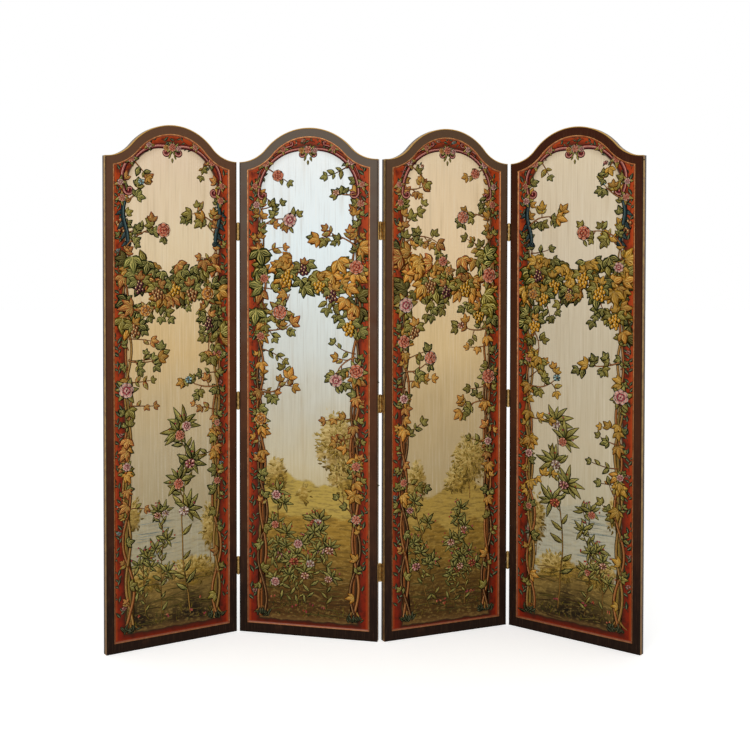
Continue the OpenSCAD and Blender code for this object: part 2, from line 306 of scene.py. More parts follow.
def brownPaint(panel):
    # hand-rubbed umber paint on wood, brushed along each member: satin and cloudy, near black at
    # the foot and greyer towards the top, where the grey is a painted sheen; painted shade
    # darkens the band along the arris, where gilding laps over it
    material, tree, shader, local, split = panelFinish("rubbedUmberPaint", panel)
    cloud = addNode(tree, "TexNoise", {
        "Vector": local, "Scale": 1 / 90, "Detail": 5, "Roughness": 0.6})
    streak = streaks(tree, local, (2.5, 2.5, 70), 4, 0.65)
    high = addNode(tree, "MapRange", {
        "Value": split.outputs[2], "From Max": fullHigh, "To Min": -0.25, "To Max": 0.75})
    high = addNode(tree, "Math", {0: cloud, 1: 0.5, 2: high}, operation="MULTIPLY_ADD")
    # up each member from near black at the foot to the panel's top colour, with its painted sheen
    ramp = addNode(tree, "ValToRGB", {0: high})
    colour = setStops(ramp, [(0.05, framePaint["lowColour"]),
                             (0.5, framePaint["middleColours"][panel]),
                             (0.95, framePaint["topColours"][panel])])
    inset = outlineDistance(tree, split)
    wander = addNode(tree, "Math", {0: cloud, 1: 3.0, 2: inset}, operation="MULTIPLY_ADD")
    lap = addNode(tree, "MapRange", {
        "Value": wander, "From Min": framePaint["giltWide"] + 2.2,
        "From Max": framePaint["giltWide"] + 1.2}, interpolation_type="SMOOTHSTEP")
    onArch = addNode(tree, "MapRange", {
        "Value": split.outputs[2], "From Min": screen["sideHigh"] - 8,
        "From Max": screen["sideHigh"] + 4}, interpolation_type="SMOOTHSTEP")
    onFace = addNode(tree, "MapRange", {
        "Value": split.outputs[1], "From Min": 1.0, "From Max": 0.2},
        interpolation_type="SMOOTHSTEP")
    gilt = addNode(tree, "Math", {0: lap, 1: onArch}, operation="MULTIPLY")
    gilt = addNode(tree, "Math", {0: gilt, 1: onFace}, operation="MULTIPLY")
    # brush streaks, painted shade along the outline, then the gilding lapping onto the arch
    colour = layCoats(tree, colour, [((streak, 0.5, 0.85, 0.4), framePaint["rubbedColour"]),
                                     ((wander, 7.5, 3.0, 0.75), framePaint["arrisColour"]),
                                     (gilt, framePaint["giltColour"])])
    joinFinish(tree, shader, colour, (cloud, 0.3, framePaint["roughness"] - 0.15),
               (streak, 0.25, 0.0003))
    shader.inputs["IOR"].default_value = 1.5
    shader.inputs["Specular IOR Level"].default_value = framePaint["gloss"]
    return material


edgeGilding = {
    "goldColour": "#9a7434",
    "paleGold": "#c9a45c",
    "boleColour": "#6e3f1e",
    "brownColour": "#2c1d14",
    "goldDepth": 14.0,   # mm from the front that the gold reaches
    "dullBelow": 700.0,
}


def wornEdge(panel):
    # oil gilding over red-brown bole on the panel's edges, the rear part left brown: soft,
    # uneven shine, rubbed through to the bole in patches
    material, tree, shader, local, split = panelFinish("rubbedEdgeGilding", panel)
    blot = addNode(tree, "TexNoise", {
        "Vector": local, "Scale": 1 / 22, "Detail": 6, "Roughness": 0.7})
    rub = streaks(tree, local, (2, 2, 45), 4)
    ramp = addNode(tree, "ValToRGB", {0: blot})
    gold = setStops(ramp, [(0.3, edgeGilding["boleColour"]), (0.45, edgeGilding["goldColour"]),
                           (0.75, edgeGilding["paleGold"])])
    dull = (split.outputs[2], edgeGilding["dullBelow"], 0.0, 0.55)
    wander = addNode(tree, "Math", {
        0: rub, 1: 5.0, 2: split.outputs[1]}, operation="MULTIPLY_ADD")
    rear = addNode(tree, "MapRange", {
        "Value": wander, "From Min": edgeGilding["goldDepth"] + 1.5,
        "From Max": edgeGilding["goldDepth"] + 3.5}, interpolation_type="SMOOTHSTEP")
    metal = addNode(tree, "MapRange", {"Value": rear, "To Min": 0.55, "To Max": 0.0})
    gold = layCoats(tree, gold, [(dull, edgeGilding["boleColour"]),
                                 (rear, edgeGilding["brownColour"])])
    tree.links.new(metal.outputs[0], shader.inputs["Metallic"])
    joinFinish(tree, shader, gold, (blot, 0.3, 0.3), (rub, 0.3, 0.0003))
    return material


slipGilding = {
    "leafColour": "#c0783f",
    "paleColour": "#e3b47c",
    "boleColour": "#8a4524",
    "lowColour": "#64300f",
    "glazeColour": "#7c2f12",
    "glazeFrom": 1.7,     # mm behind the frame's face where the red glaze starts
    "dullBetween": (1100.0, 50.0),
}


def copperSlip(panel):
    # bronze leaf on bole along the moulded slip: warm copper-gold on its arris, worn to the
    # bole, duller towards the floor, with red glaze from the painting over its lower slope
    material, tree, shader, local, split = panelFinish("bronzeLeafSlip", panel)
    blot = addNode(tree, "TexNoise", {
        "Vector": local, "Scale": 1 / 18, "Detail": 6, "Roughness": 0.7})
    ramp = addNode(tree, "ValToRGB", {0: blot})
    leaf = setStops(ramp, [(0.3, slipGilding["boleColour"]), (0.48, slipGilding["leafColour"]),
                           (0.72, slipGilding["paleColour"])])
    depth = addNode(tree, "Math", {
        0: blot, 1: 0.8, 2: split.outputs[1]}, operation="MULTIPLY_ADD")
    glaze = addNode(tree, "MapRange", {
        "Value": depth, "From Min": slipGilding["glazeFrom"],
        "From Max": slipGilding["glazeFrom"] + 0.6, "To Max": 0.9},
        interpolation_type="SMOOTHSTEP")
    metal = addNode(tree, "MapRange", {"Value": glaze, "To Min": 0.5, "To Max": 0.0})
    leaf = layCoats(tree, leaf, [((split.outputs[2], *slipGilding["dullBetween"], 0.6),
                                  slipGilding["lowColour"]),
                                 (glaze, slipGilding["glazeColour"])])
    tree.links.new(metal.outputs[0], shader.inputs["Metallic"])
    joinFinish(tree, shader, leaf, (blot, 0.3, 0.25), (blot, 0.25, 0.0002))
    return material


brassFinish = {
    "brightColour": "#dcbc7c",
    "dullColour": "#a8854a",
    "spotColour": "#5a4526",
}


def agedBrass():
    # stamped brass butt hinges, tarnished: bright where the leaves rub, brown in the hollows
    material, tree, shader = newFinish("tarnishedBrass")
    place = addNode(tree, "TexCoord").outputs["Object"]
    # patches of 11 mm, and a grain of 1.4 mm, coarser than the metal's own so that it shows
    cloud = addNode(tree, "TexNoise", {
        "Vector": place, "Scale": 90, "Detail": 5, "Roughness": 0.65})
    fine = addNode(tree, "TexNoise", {"Vector": place, "Scale": 700, "Detail": 2})
    ramp = addNode(tree, "ValToRGB", {0: cloud})
    colour = setStops(ramp, [(0.28, brassFinish["spotColour"]),
                             (0.45, brassFinish["dullColour"]),
                             (0.7, brassFinish["brightColour"])])
    joinFinish(tree, shader, colour, (cloud, 0.35, 0.22), (fine, 0.15, 0.0001))
    shader.inputs["Metallic"].default_value = 0.85
    return material


steelColours = [(0.35, "#4a3a2c"), (0.6, "#8d8880")]


def screwSteel():
    # turned steel wood screws, dark in the slot and lightly rusted
    material, tree, shader = newFinish("oiledSteelScrew")
    place = addNode(tree, "TexCoord").outputs["Object"]
    # specks of 4 mm on a head of 6 mm
    rust = addNode(tree, "TexNoise", {"Vector": place, "Scale": 260, "Detail": 4})
    ramp = addNode(tree, "ValToRGB", {0: rust})
    colour = setStops(ramp, steelColours)
    joinFinish(tree, shader, colour, (rust, 0.3, 0.3), (rust, 0.1, 0.0001))
    shader.inputs["Metallic"].default_value = 0.9
    return material


spruceColours = [(0.35, "#a87d4c"), (0.5, "#cfa873"), (0.7, "#dfc090")]


def bareSpruce():
    # planed softwood inside the panel: pale yellow-brown, with growth rings along the rail
    material, tree, shader = newFinish("planedSpruce")
    place = addNode(tree, "TexCoord").outputs["Object"]
    # rings 4 mm apart that run 250 mm
    along = addNode(tree, "Mapping", {"Vector": place, "Scale": (4, 4, 260)})
    rings = addNode(tree, "TexNoise", {
        "Vector": along, "Scale": 1, "Detail": 4, "Distortion": 0.6})
    ramp = addNode(tree, "ValToRGB", {0: rings})
    colour = setStops(ramp, spruceColours)
    joinFinish(tree, shader, colour, (rings, 0.2, 0.5), (rings, 0.2, 0.0002))
    return material


backFinish = {
    "darkColour": "#2a1c15",
    "paleColour": "#54402f",
}


def backPaint(panel):
    # the same umber paint on the plain back board, thinner and brushed upright
    material, tree, shader, local, _ = panelFinish("thinUmberBack", panel)
    streak = streaks(tree, local, (5, 5, 240), 5, 0.6)
    cloud = addNode(tree, "TexNoise", {"Vector": local, "Scale": 1 / 160, "Detail": 3})
    both = addNode(tree, "Mix", {0: 0.6, 2: streak, 3: cloud}, data_type="FLOAT")
    ramp = addNode(tree, "ValToRGB", {0: both})
    colour = setStops(ramp, [(0.35, backFinish["darkColour"]),
                             (0.65, backFinish["paleColour"])])
    joinFinish(tree, shader, colour, (streak, 0.25, 0.42), (streak, 0.2, 0.0003))
    return material


# Ground colours of the four paintings, from the foot up, as (height in mm, colour); the
# hills: middle height of the ridge, how far it swells, colours at the ridge and below it,
# cover; and the trees: x, z, half width, half height
grounds = [
    {"sky": [(250, "#a4966f"), (420, "#aa9a76"), (700, "#bcaa86"), (1050, "#d9ba85"),
             (1420, "#e8d2ac"), (1760, "#e8cfb0")],
     "hills": [(470, 30, "#b0ac94", "#a8a48f", 0.5), (262, 60, "#8a6e36", "#1a1004", 1.0)],
     "trees": [(330, 248, 96, 50), (160, 248, 80, 46), (402, 400, 34, 96), (104, 470, 26, 60)]},
    {"sky": [(300, "#b59f66"), (620, "#c9bb98"), (820, "#c8c2ae"), (1050, "#d6dad3"),
             (1420, "#e9f4f6"), (1760, "#f0f4f3")],
     "hills": [(575, 60, "#b3963f", "#b89a4a", 0.92), (430, 44, "#9e7a2e", "#4e3210", 1.0)],
     "trees": [(360, 700, 72, 112), (384, 580, 52, 66), (132, 580, 50, 54),
               (240, 515, 22, 34)]},
    {"sky": [(300, "#ac945c"), (620, "#b8a278"), (820, "#c4ab7e"), (1050, "#dfc28f"),
             (1420, "#f0d4aa"), (1760, "#ebd3ae")],
     "hills": [(535, 70, "#a88838", "#ac8e44", 0.92), (390, 50, "#906e28", "#4c320e", 1.0)],
     "trees": [(352, 620, 70, 100), (296, 556, 44, 50), (128, 560, 40, 70)]},
    {"sky": [(250, "#aea78c"), (420, "#bcb294"), (700, "#c8ba9c"), (1050, "#cbbea3"),
             (1420, "#d8c9ae"), (1760, "#dfcdae")],
     "hills": [(480, 28, "#aeae9c", "#b0ad9a", 0.5), (258, 56, "#8e7238", "#160e03", 1.0)],
     "trees": [(190, 248, 98, 50), (356, 248, 76, 46), (108, 410, 34, 96), (406, 470, 26, 60)]},
]
oilGround = {
    "redTop": "#a63a10",
    "redMiddle": "#96300f",
    "redLow": "#7c1d07",
    "redByGold": "#c0531a",
    "redDark": "#5a1604",
    "redUmber": "#34180b",
    "shadowLine": "#2e1b0d",
    "glaze": "#7a5a30",
    "streakDark": "#8d7146",
    "streakPale": "#f4eee0",
    "streakWarm": "#a98c5c",
    "hillShade": "#241606",
    "hillLight": "#c9a75a",
    "treeColours": [(0.32, "#6f5518"), (0.47, "#99792f"), (0.6, "#b89a52"),
                    (0.76, "#d0b878")],
    "archHalf": 183.0,        # half width of the picture inside the red, round at its top
    "archMiddle": 1580.0,     # height of the middle of that round top
    "footHigh": [58.0, 52.0, 46.0, 58.0],
    "borderWander": 18.0,     # mm that the inner edge of the red wanders
    "gloss": 0.12,
}


def oilPainting(panel):
    # oil paint on a primed board, glazed and aged: a brick-red margin with a wandering inner
    # edge, and a pale ground brushed upright, with low hills that darken towards the foot
    material, tree, shader, local, split = panelFinish("agedOilGround", panel)
    z = split.outputs[2]
    inset = outlineDistance(tree, split)
    across = addNode(tree, "Math", {0: split.outputs[0], 1: crownX}, operation="SUBTRACT")
    above = addNode(tree, "Math", {0: z, 1: oilGround["archMiddle"]}, operation="SUBTRACT")
    above = addNode(tree, "Math", {0: above, 1: 0.0}, operation="MAXIMUM")
    domed = addNode(tree, "CombineXYZ", {0: across, 1: above})
    domed = addNode(tree, "VectorMath", {0: domed}, operation="LENGTH").outputs["Value"]
    domed = addNode(tree, "Math", {0: oilGround["archHalf"], 1: domed}, operation="SUBTRACT")
    foot = addNode(tree, "Math", {0: z, 1: oilGround["footHigh"][panel]}, operation="SUBTRACT")
    inside = addNode(tree, "Math", {0: domed, 1: foot}, operation="MINIMUM")
    wave = addNode(tree, "TexNoise", {
        "Vector": local, "Scale": 1 / 44, "Detail": 3, "Roughness": 0.6})
    ripple = addNode(tree, "TexNoise", {"Vector": local, "Scale": 1 / 13, "Detail": 2})
    # the edge of the red runs true round the arch and wanders below it
    swing = addNode(tree, "MapRange", {
        "Value": z, "From Min": 1380.0, "From Max": 1520.0,
        "To Min": oilGround["borderWander"], "To Max": 2.0}, interpolation_type="SMOOTHSTEP")
    wander = addNode(tree, "Math", {0: wave, 1: 0.5}, operation="SUBTRACT")
    fromEdge = addNode(tree, "Math", {0: wander, 1: swing, 2: inside}, operation="MULTIPLY_ADD")

    mottle = addNode(tree, "TexNoise", {
        "Vector": local, "Scale": 1 / 30, "Detail": 7, "Roughness": 0.65})
    high = addNode(tree, "Math", {0: z, 1: 1 / fullHigh}, operation="MULTIPLY")
    redRamp = addNode(tree, "ValToRGB", {0: high})
    red = setStops(redRamp, [(0.02, oilGround["redLow"]), (0.45, oilGround["redMiddle"]),
                             (0.9, oilGround["redTop"])])
    gold = screen["slipInside"]
    red = layCoats(tree, red, [((mottle, 0.42, 0.68, 1.0), oilGround["redDark"]),
                               ((inset, gold + 9, gold - 1, 0.45), oilGround["redByGold"]),
                               ((fromEdge, -22.0, 0.0, 0.75), oilGround["redUmber"])])

    # pale ground, brushed upright in fine and broad streaks
    drift = addNode(tree, "TexNoise", {"Vector": local, "Scale": 1 / 120, "Detail": 4})
    lift = addNode(tree, "MapRange", {"Value": drift, "To Min": -0.06, "To Max": 0.06})
    lift = addNode(tree, "Math", {0: lift, 1: high}, operation="ADD")
    groundRamp = addNode(tree, "ValToRGB", {0: lift})
    ground = setStops(groundRamp, [(h / fullHigh, c) for h, c in grounds[panel]["sky"]])
    fine = streaks(tree, local, (3.2, 3.2, 150), 5, 0.6)
    broad = streaks(tree, local, (28, 28, 420), 3)
    ground = layCoats(tree, ground, [((fine, 0.5, 0.9, 0.5), oilGround["streakDark"]),
                                     ((fine, 0.5, 0.2, 0.3), oilGround["streakPale"]),
                                     ((broad, 0.5, 0.8, 0.3), oilGround["streakWarm"])])

    # low hills in level strokes and dabs, each range with its lit ridge and its dark foot
    level = streaks(tree, local, (52, 52, 9), 6, 0.68)
    dabs = streaks(tree, local, (16, 16, 8), 4, 0.7)
    for depth, (ridge, swell, crest, low, cover) in enumerate(grounds[panel]["hills"]):
        across = addNode(tree, "CombineXYZ", {
            0: split.outputs[0], 1: 300.0 * depth + 90.0 * panel})
        rise = addNode(tree, "TexNoise", {
            "Vector": across, "Scale": 1 / (150 - 60 * depth), "Detail": 1.5})
        top = addNode(tree, "MapRange", {
            "Value": rise, "To Min": ridge - 2.0 * swell, "To Max": ridge + 2.0 * swell})
        top = addNode(tree, "Math", {0: dabs, 1: 22.0, 2: top}, operation="MULTIPLY_ADD")
        below = addNode(tree, "Math", {0: top, 1: z}, operation="SUBTRACT")
        earth = layCoats(tree, linear(crest), [((below, 0.0, ridge * 0.8, 1.0), low)])
        darker = layCoats(tree, earth, [(0.62, oilGround["hillShade"])])
        lighter = layCoats(tree, earth, [(0.45, oilGround["hillLight"])])
        earth = layCoats(tree, earth, [((level, 0.46, 0.62, 0.75), darker),
                                       ((dabs, 0.5, 0.34, 0.6), lighter)])
        ground = layCoats(tree, ground, [((below, 4.0, 18.0, cover), earth)])

    # soft trees, dabbed from olive shade to pale gold, with their edges lost in the ground
    for x, height, half, high in grounds[panel]["trees"]:
        fromTree = addNode(tree, "Mapping", {
            "Vector": local, "Location": (x, 0, height), "Scale": (half, 10000, high)},
            vector_type="TEXTURE")
        edge = addNode(tree, "VectorMath", {0: fromTree}, operation="LENGTH").outputs["Value"]
        edge = addNode(tree, "Math", {0: wave, 1: 1.3, 2: edge}, operation="MULTIPLY_ADD")
        edge = addNode(tree, "Math", {0: ripple, 1: 0.7, 2: edge}, operation="MULTIPLY_ADD")
        tone = addNode(tree, "VectorMath", {
            0: fromTree, 1: (-0.1, 0, 0.16)}, operation="DOT_PRODUCT").outputs["Value"]
        tone = addNode(tree, "Math", {0: tone, 1: dabs}, operation="ADD")
        ramp = addNode(tree, "ValToRGB", {0: tone})
        leaves = setStops(ramp, oilGround["treeColours"])
        ground = layCoats(tree, ground, [((edge, 2.08, 1.72, 0.9), leaves)])

    # brown glaze gathers beside the margin and draws the line round the picture
    near = addNode(tree, "MapRange", {
        "Value": fromEdge, "From Min": 40.0, "From Max": 0.0}, interpolation_type="SMOOTHSTEP")
    near = addNode(tree, "Math", {0: near, 1: 2.2}, operation="POWER")
    bare = addNode(tree, "MapRange", {
        "Value": z, "From Min": 1200.0, "From Max": 1450.0, "To Min": 0.6, "To Max": 0.35})
    near = addNode(tree, "Math", {0: near, 1: bare}, operation="MULTIPLY")
    ground = layCoats(tree, ground, [(near, oilGround["glaze"])])
    off = addNode(tree, "Math", {0: fromEdge, 1: 1.0}, operation="SUBTRACT")
    off = addNode(tree, "Math", {0: off}, operation="ABSOLUTE")
    colour = layCoats(tree, red, [((fromEdge, -1.2, 1.2, 1.0), ground),
                                  ((off, 4.0, 0.5, 0.85), oilGround["shadowLine"])])

    # a net of fine cracks 7 mm apart, coarser than real ones so that it shows
    cracks = addNode(tree, "TexVoronoi", {
        "Vector": local, "Scale": 1 / 7}, feature="DISTANCE_TO_EDGE")
    cracks = addNode(tree, "MapRange", {"Value": cracks, "From Max": 0.04, "To Max": 0.2})
    height = addNode(tree, "Math", {0: cracks, 1: fine}, operation="ADD")
    joinFinish(tree, shader, colour, (mottle, 0.25, 0.3), (height, 0.25, 0.0003))
    shader.inputs["IOR"].default_value = 1.48
    shader.inputs["Specular IOR Level"].default_value = oilGround["gloss"]
    return material


def gildOuterEdges(node, panel, gilding):
    # gives the faces within 0.8 mm of the panel's outline, which face outwards, the gilding;
    # the others and the foot keep the paint
    inverse = np.array(panelMatrix(panel).inverted())
    mesh = node.data
    mesh.materials.append(gilding)
    for face in mesh.polygons:
        centre = inverse @ np.array([*face.center, 1.0])
        turnBack = inverse[:3, :3] @ np.array(face.normal)
        turnBack = turnBack / np.linalg.norm(turnBack)
        onEdge = abs(float(insetAt(centre[0], centre[2]))) < 0.8 and centre[2] > 1.0
        face.material_index = 1 if onEdge and abs(turnBack[1]) < 0.5 else 0


def setFinish(node, material):
    node.data.materials.clear()
    node.data.materials.append(material)


brass, steel, spruce = agedBrass(), screwSteel(), bareSpruce()
for panel in range(4):
    name = "panel_%d_" % (panel + 1)
    umber, gilding = brownPaint(panel), wornEdge(panel)
    for part in ("left_stile", "right_stile", "top_rail", "bottom_rail"):
        setFinish(nodes[name + part], umber)
        if part != "bottom_rail":
            gildOuterEdges(nodes[name + part], panel, gilding)
    setFinish(nodes[name + "cross_rails"], spruce)
    setFinish(nodes[name + "painted_board"], oilPainting(panel))
    setFinish(nodes[name + "back_board"], backPaint(panel))
    setFinish(nodes[name + "gilt_slip"], copperSlip(panel))
    setFinish(nodes[name + "hinge_screws"], steel)
for name, node in nodes.items():
    if name.startswith("hinge_"):
        setFinish(node, brass)
print("finishes of the construction made")


# Oil colours as mixed on the palette: (shaded side, lit side) of a brush stroke
palette = {
    "leafDeep": ("#151d06", "#465019"),
    "leafGrey": ("#363a18", "#82843f"),
    "leafOlive": ("#3e3508", "#9a8424"),
    "leafOchre": ("#86480e", "#e6a034"),
    "leafGolden": ("#8a5a0c", "#ecb438"),
    "leafOrange": ("#a05416", "#f4a840"),
    "leafRust": ("#8a3a18", "#d27a3c"),
    "veinPale": ("#b8ac52", "#e8da8a"),
    "veinWarm": ("#e6ac4c", "#fcde88"),
    "stemDark": ("#24140a", "#3c2412"),
    "stemSienna": ("#743a16", "#c0783c"),
    "stemOchre": ("#77531f", "#c0944a"),
    "bark": ("#3e2210", "#7c4c24"),
    "stemLight": ("#c08c50", "#e6c08a"),
    "maroon": ("#420f14", "#6c262a"),
    "crimson": ("#7a1c24", "#bc4848"),
    "crimsonPale": ("#cc7e70", "#f4bca8"),
    "tealDark": ("#0c1c20", "#233e44"),
    "teal": ("#101e22", "#2a3c3e"),
    "tealPale": ("#304850", "#74908f"),
    "roseShade": ("#5e1f22", "#8e3c38"),
    "roseDeep": ("#8e2c1e", "#c85c40"),
    "rosePink": ("#b85238", "#e8946e"),
    "rosePale": ("#d99a7c", "#f8dfc4"),
    "berryPink": ("#7e2232", "#c85c62"),
    "pinkPale": ("#cc8278", "#f4c8b8"),
    "petalWhite": ("#b8a794", "#f4e8d6"),
    "petalBlue": ("#2c4c58", "#8fb0b0"),
    "bluePale": ("#7ca0a0", "#cfe0d6"),
    "petalYellow": ("#b07c2a", "#eccb74"),
    "fruitPlum": ("#3a1620", "#8a4a50"),
    "fruitGold": ("#ac6a0c", "#ffc63c"),
    "fruitRust": ("#6c3418", "#c88a54"),
    "fruitLight": ("#e4bc6c", "#fdeab8"),
    "sprigGreen": ("#1a2216", "#464e34"),
    "sprigPale": ("#6c7352", "#9da07c"),
    "earthDark": ("#2a1c0b", "#543c1a"),
    "earthOlive": ("#3c3214", "#77662c"),
    "earthOchre": ("#6e5424", "#a8884a"),
    "treeDark": ("#5c4818", "#836a2a"),
    "treeMiddle": ("#866a26", "#a88c3e"),
    "treeLight": ("#a58a40", "#ccb268"),
    "water": ("#7d8c88", "#a9aea2"),
}
paintRelief = {
    "thickest": 0.9,      # mm of paint where most strokes cross
    "square": 3.0,        # mm, side of the squares in which crossings are looked for
    "lightFrom": (-0.6, 0.8),
    "tones": (0.34, 0.48, 0.12),    # tone of a stroke, light on its side and on its top
    "tints": (0.86, 1.14),          # by how much one stroke is darker or paler than the next
    "bristleColour": "#cfc4ac",
    "varnishColour": "#6b5230",
}


def brushPaint():
    # oil colour laid with a loaded brush: each stroke keeps its own colour, streaked by the
    # bristles and dulled by old varnish
    material, tree, shader = newFinish("brushedOilColour")
    place = addNode(tree, "TexCoord").outputs["Object"]
    own = addNode(tree, "Attribute", attribute_name="paint").outputs["Color"]
    # bristle marks of 2.4 mm, coarser than real ones so that they show; varnish in 17 mm clouds
    streak = addNode(tree, "TexNoise", {
        "Vector": place, "Scale": 420, "Detail": 4, "Roughness": 0.6})
    cloud = addNode(tree, "TexNoise", {"Vector": place, "Scale": 60, "Detail": 3})
    colour = layCoats(tree, own, [
        ((streak, 0.4, 0.75, 1.0), paintRelief["bristleColour"], "MULTIPLY"),
        ((cloud, 0.5, 0.8, 0.2), paintRelief["varnishColour"])])
    joinFinish(tree, shader, colour, (streak, 0.3, 0.3), (streak, 0.3, 0.0002))
    shader.inputs["IOR"].default_value = 1.48
    shader.inputs["Specular IOR Level"].default_value = oilGround["gloss"]
    return material


oilColour = brushPaint()


class Brush:
    # collects strokes in a panel's own millimetres, in the order they are painted
    leafShape = [(0.0, 0.14), (0.2, 0.84), (0.48, 1.0), (0.8, 0.5), (1.0, 0.03)]

    def __init__(self, seed):
        self.rng = random.Random(seed)
        self.strokes = []

    def stroke(self, paint, points, widths, tint=None, shared=False):
        # a shared stroke lies in one coat with the next one, beside it
        if tint is None:
            tint = self.rng.uniform(*paintRelief["tints"])
        self.strokes.append((paint, points, widths, tint, shared))

    def line(self, paint, points, start, end, tint=None):
        # a line along the points that tapers evenly
        n = len(points)
        self.stroke(paint, points, [start + (end - start) * i / (n - 1) for i in range(n)],
                    tint)

    def twig(self, paint, points, start, end):
        # a tapering line with its dark outline
        self.line("stemDark", points, start + 0.9, end + 0.7)
        self.line(paint, points, start, end)

    def leafLines(self, x, z, angle, length, width, bend):
        # the middle line of a leaf from its foot, bent to one side, its half widths, and the
        # side that faces the light
        a = math.radians(angle)
        along, across = (math.cos(a), math.sin(a)), (-math.sin(a), math.cos(a))
        points = [(x + length * t * along[0] + bend * length * t * t * across[0],
                   z + length * t * along[1] + bend * length * t * t * across[1])
                  for t, _ in self.leafShape]
        lightX, lightZ = paintRelief["lightFrom"]
        toLight = 1 if across[0] * lightX + across[1] * lightZ > 0 else -1
        return points, [w * width / 2 for _, w in self.leafShape], toLight

    def leafEdge(self, paint, lines, tint):
        self.stroke(paint, lines[0], [w + 1.1 for w in lines[1]], 0.12 * tint)

    def leafLights(self, vein, lines, tint):
        # the light half, a thin light on the other half and the vein
        points, body, toLight = lines
        wide = body[2]
        for side, thick, bright in ((toLight, 0.18, 0.95), (-toLight, 0.09, 0.7)):
            off = [side * w for w in (0.2 * body[1], 0.55 * wide, 0.36 * body[3])]
            self.stroke(vein, beside(points[1:4], off),
                        [0.4 * thick * wide, thick * wide, 0.2 * thick * wide],
                        bright * tint, True)
        thin = max(0.45, 0.09 * wide)
        self.stroke(vein, [points[0], points[2], points[3]], [1.2 * thin, thin, 0.4 * thin],
                    0.85 * tint)

    def leaf(self, paint, x, z, angle, length, width, bend=0.0, vein="veinPale", tint=None,
             edge=True):
        # one leaf pointing at an angle in degrees
        lines = self.leafLines(x, z, angle, length, width, bend)
        if tint is None:
            tint = self.rng.uniform(*paintRelief["tints"])
        if edge:
            self.leafEdge(paint, lines, tint)
        self.stroke(paint, lines[0], lines[1], tint)
        if vein and edge:
            self.leafLights(vein, lines, tint)

    def dot(self, paint, x, z, radius, tint=None):
        points = [(x, z - radius), (x, z - 0.7 * radius), (x, z), (x, z + 0.7 * radius),
                  (x, z + radius)]
        self.stroke(paint, points, [0.1 * radius, 0.72 * radius, radius, 0.72 * radius,
                                    0.1 * radius], tint)


def walk(x, z, course, step, turns):
    # points of a free line: starts at x, z and turns by so many degrees at each step
    points = [(x, z)]
    for turn in turns:
        course += turn
        x += step * math.cos(math.radians(course))
        z += step * math.sin(math.radians(course))
        points.append((x, z))
    return points


def beside(points, offsets):
    # the line moved to the left of its course, by its own distance at each point
    moved = []
    for i, (x, z) in enumerate(points):
        (ax, az), (bx, bz) = points[max(i - 1, 0)], points[min(i + 1, len(points) - 1)]
        size = math.hypot(bx - ax, bz - az) or 1
        moved.append((x - offsets[i] * (bz - az) / size, z + offsets[i] * (bx - ax) / size))
    return moved


def heading(points, i):
    # direction of a line at one of its points, in degrees
    (ax, az), (bx, bz) = points[max(i - 1, 0)], points[min(i + 1, len(points) - 1)]
    return math.degrees(math.atan2(bz - az, bx - ax))


def blossom(brush, paint, pale, x, z, radius, petals=7):
    # open flower seen a little from the side: petals with pale tips about a dark heart
    start = brush.rng.uniform(0, 360)
    flat = 0.8
    for i in range(petals):
        a = math.radians(start + 360 * i / petals)
        foot, tip = 0.1 * radius, radius * brush.rng.uniform(0.9, 1.1)
        points = [(x + r * math.cos(a), z + flat * r * math.sin(a))
                  for r in (foot, 0.4 * tip, 0.75 * tip, tip)]
        wide = 3.3 * radius / petals
        brush.stroke(paint, points, [0.4 * wide + 0.7, 0.8 * wide + 0.7, wide + 0.7,
                                     0.4 * wide + 0.5], 0.3)
        brush.stroke(paint, points, [0.3 * wide, 0.75 * wide, wide, 0.4 * wide])
        brush.stroke(pale, points[1:], [0.15 * wide, 0.55 * wide, 0.25 * wide])
    brush.dot("stemDark", x, z, 0.24 * radius)
    brush.dot("petalYellow", x - 0.4, z + 0.6, 0.15 * radius)


roseColours = [("roseShade", "roseDeep", "rosePink", "rosePale"),
               ("roseShade", "rosePink", "rosePink", "petalWhite"),
               ("maroon", "berryPink", "pinkPale", "petalWhite"),
               ("leafRust", "fruitRust", "leafOrange", "fruitLight")]


def rose(brush, x, z, radius, colours=roseColours[0]):
    # full rose: three rings of round petals, the outer ones paler, each with a turned edge
    rng = brush.rng
    brush.dot(colours[0], x, z, radius * 1.04, 0.55)
    for reach, count, size, tone in ((0.62, 7, 0.41, 2), (0.38, 6, 0.30, 1),
                                     (0.16, 4, 0.22, 2)):
        first = rng.uniform(0, 360)
        for i in range(count):
            a = math.radians(first + 360 * i / count + rng.uniform(-9, 9))
            px = x + reach * radius * math.cos(a)
            pz = z + 0.93 * reach * radius * math.sin(a)
            petal = size * radius * rng.uniform(0.92, 1.08)
            brush.dot(colours[0], px, pz, petal + 0.5, 0.8)
            brush.dot(colours[tone], px, pz, petal)
            rim = []
            for turn in (-1.1, -0.6, 0.0, 0.6, 1.1):
                rim.append((px + 0.84 * petal * math.cos(a + turn),
                            pz + 0.84 * petal * math.sin(a + turn)))
            brush.stroke(colours[3], rim, [petal * w for w in (0.02, 0.11, 0.15, 0.11, 0.02)])
    brush.dot(colours[0], x, z, 0.12 * radius, 0.7)


def leafyRose(brush, x, z, radius, colours, paints, longest, slim):
    # a rose over six leaves; the longest reaches so many radii, and all are that slim
    rng = brush.rng
    for turn in range(6):
        size = radius * rng.uniform(1.5, longest)
        brush.leaf(rng.choice(paints), x, z, 60 * turn + rng.uniform(-20, 20), size,
                   size * slim, 0.1)
    rose(brush, x, z, radius, roseColours[colours])


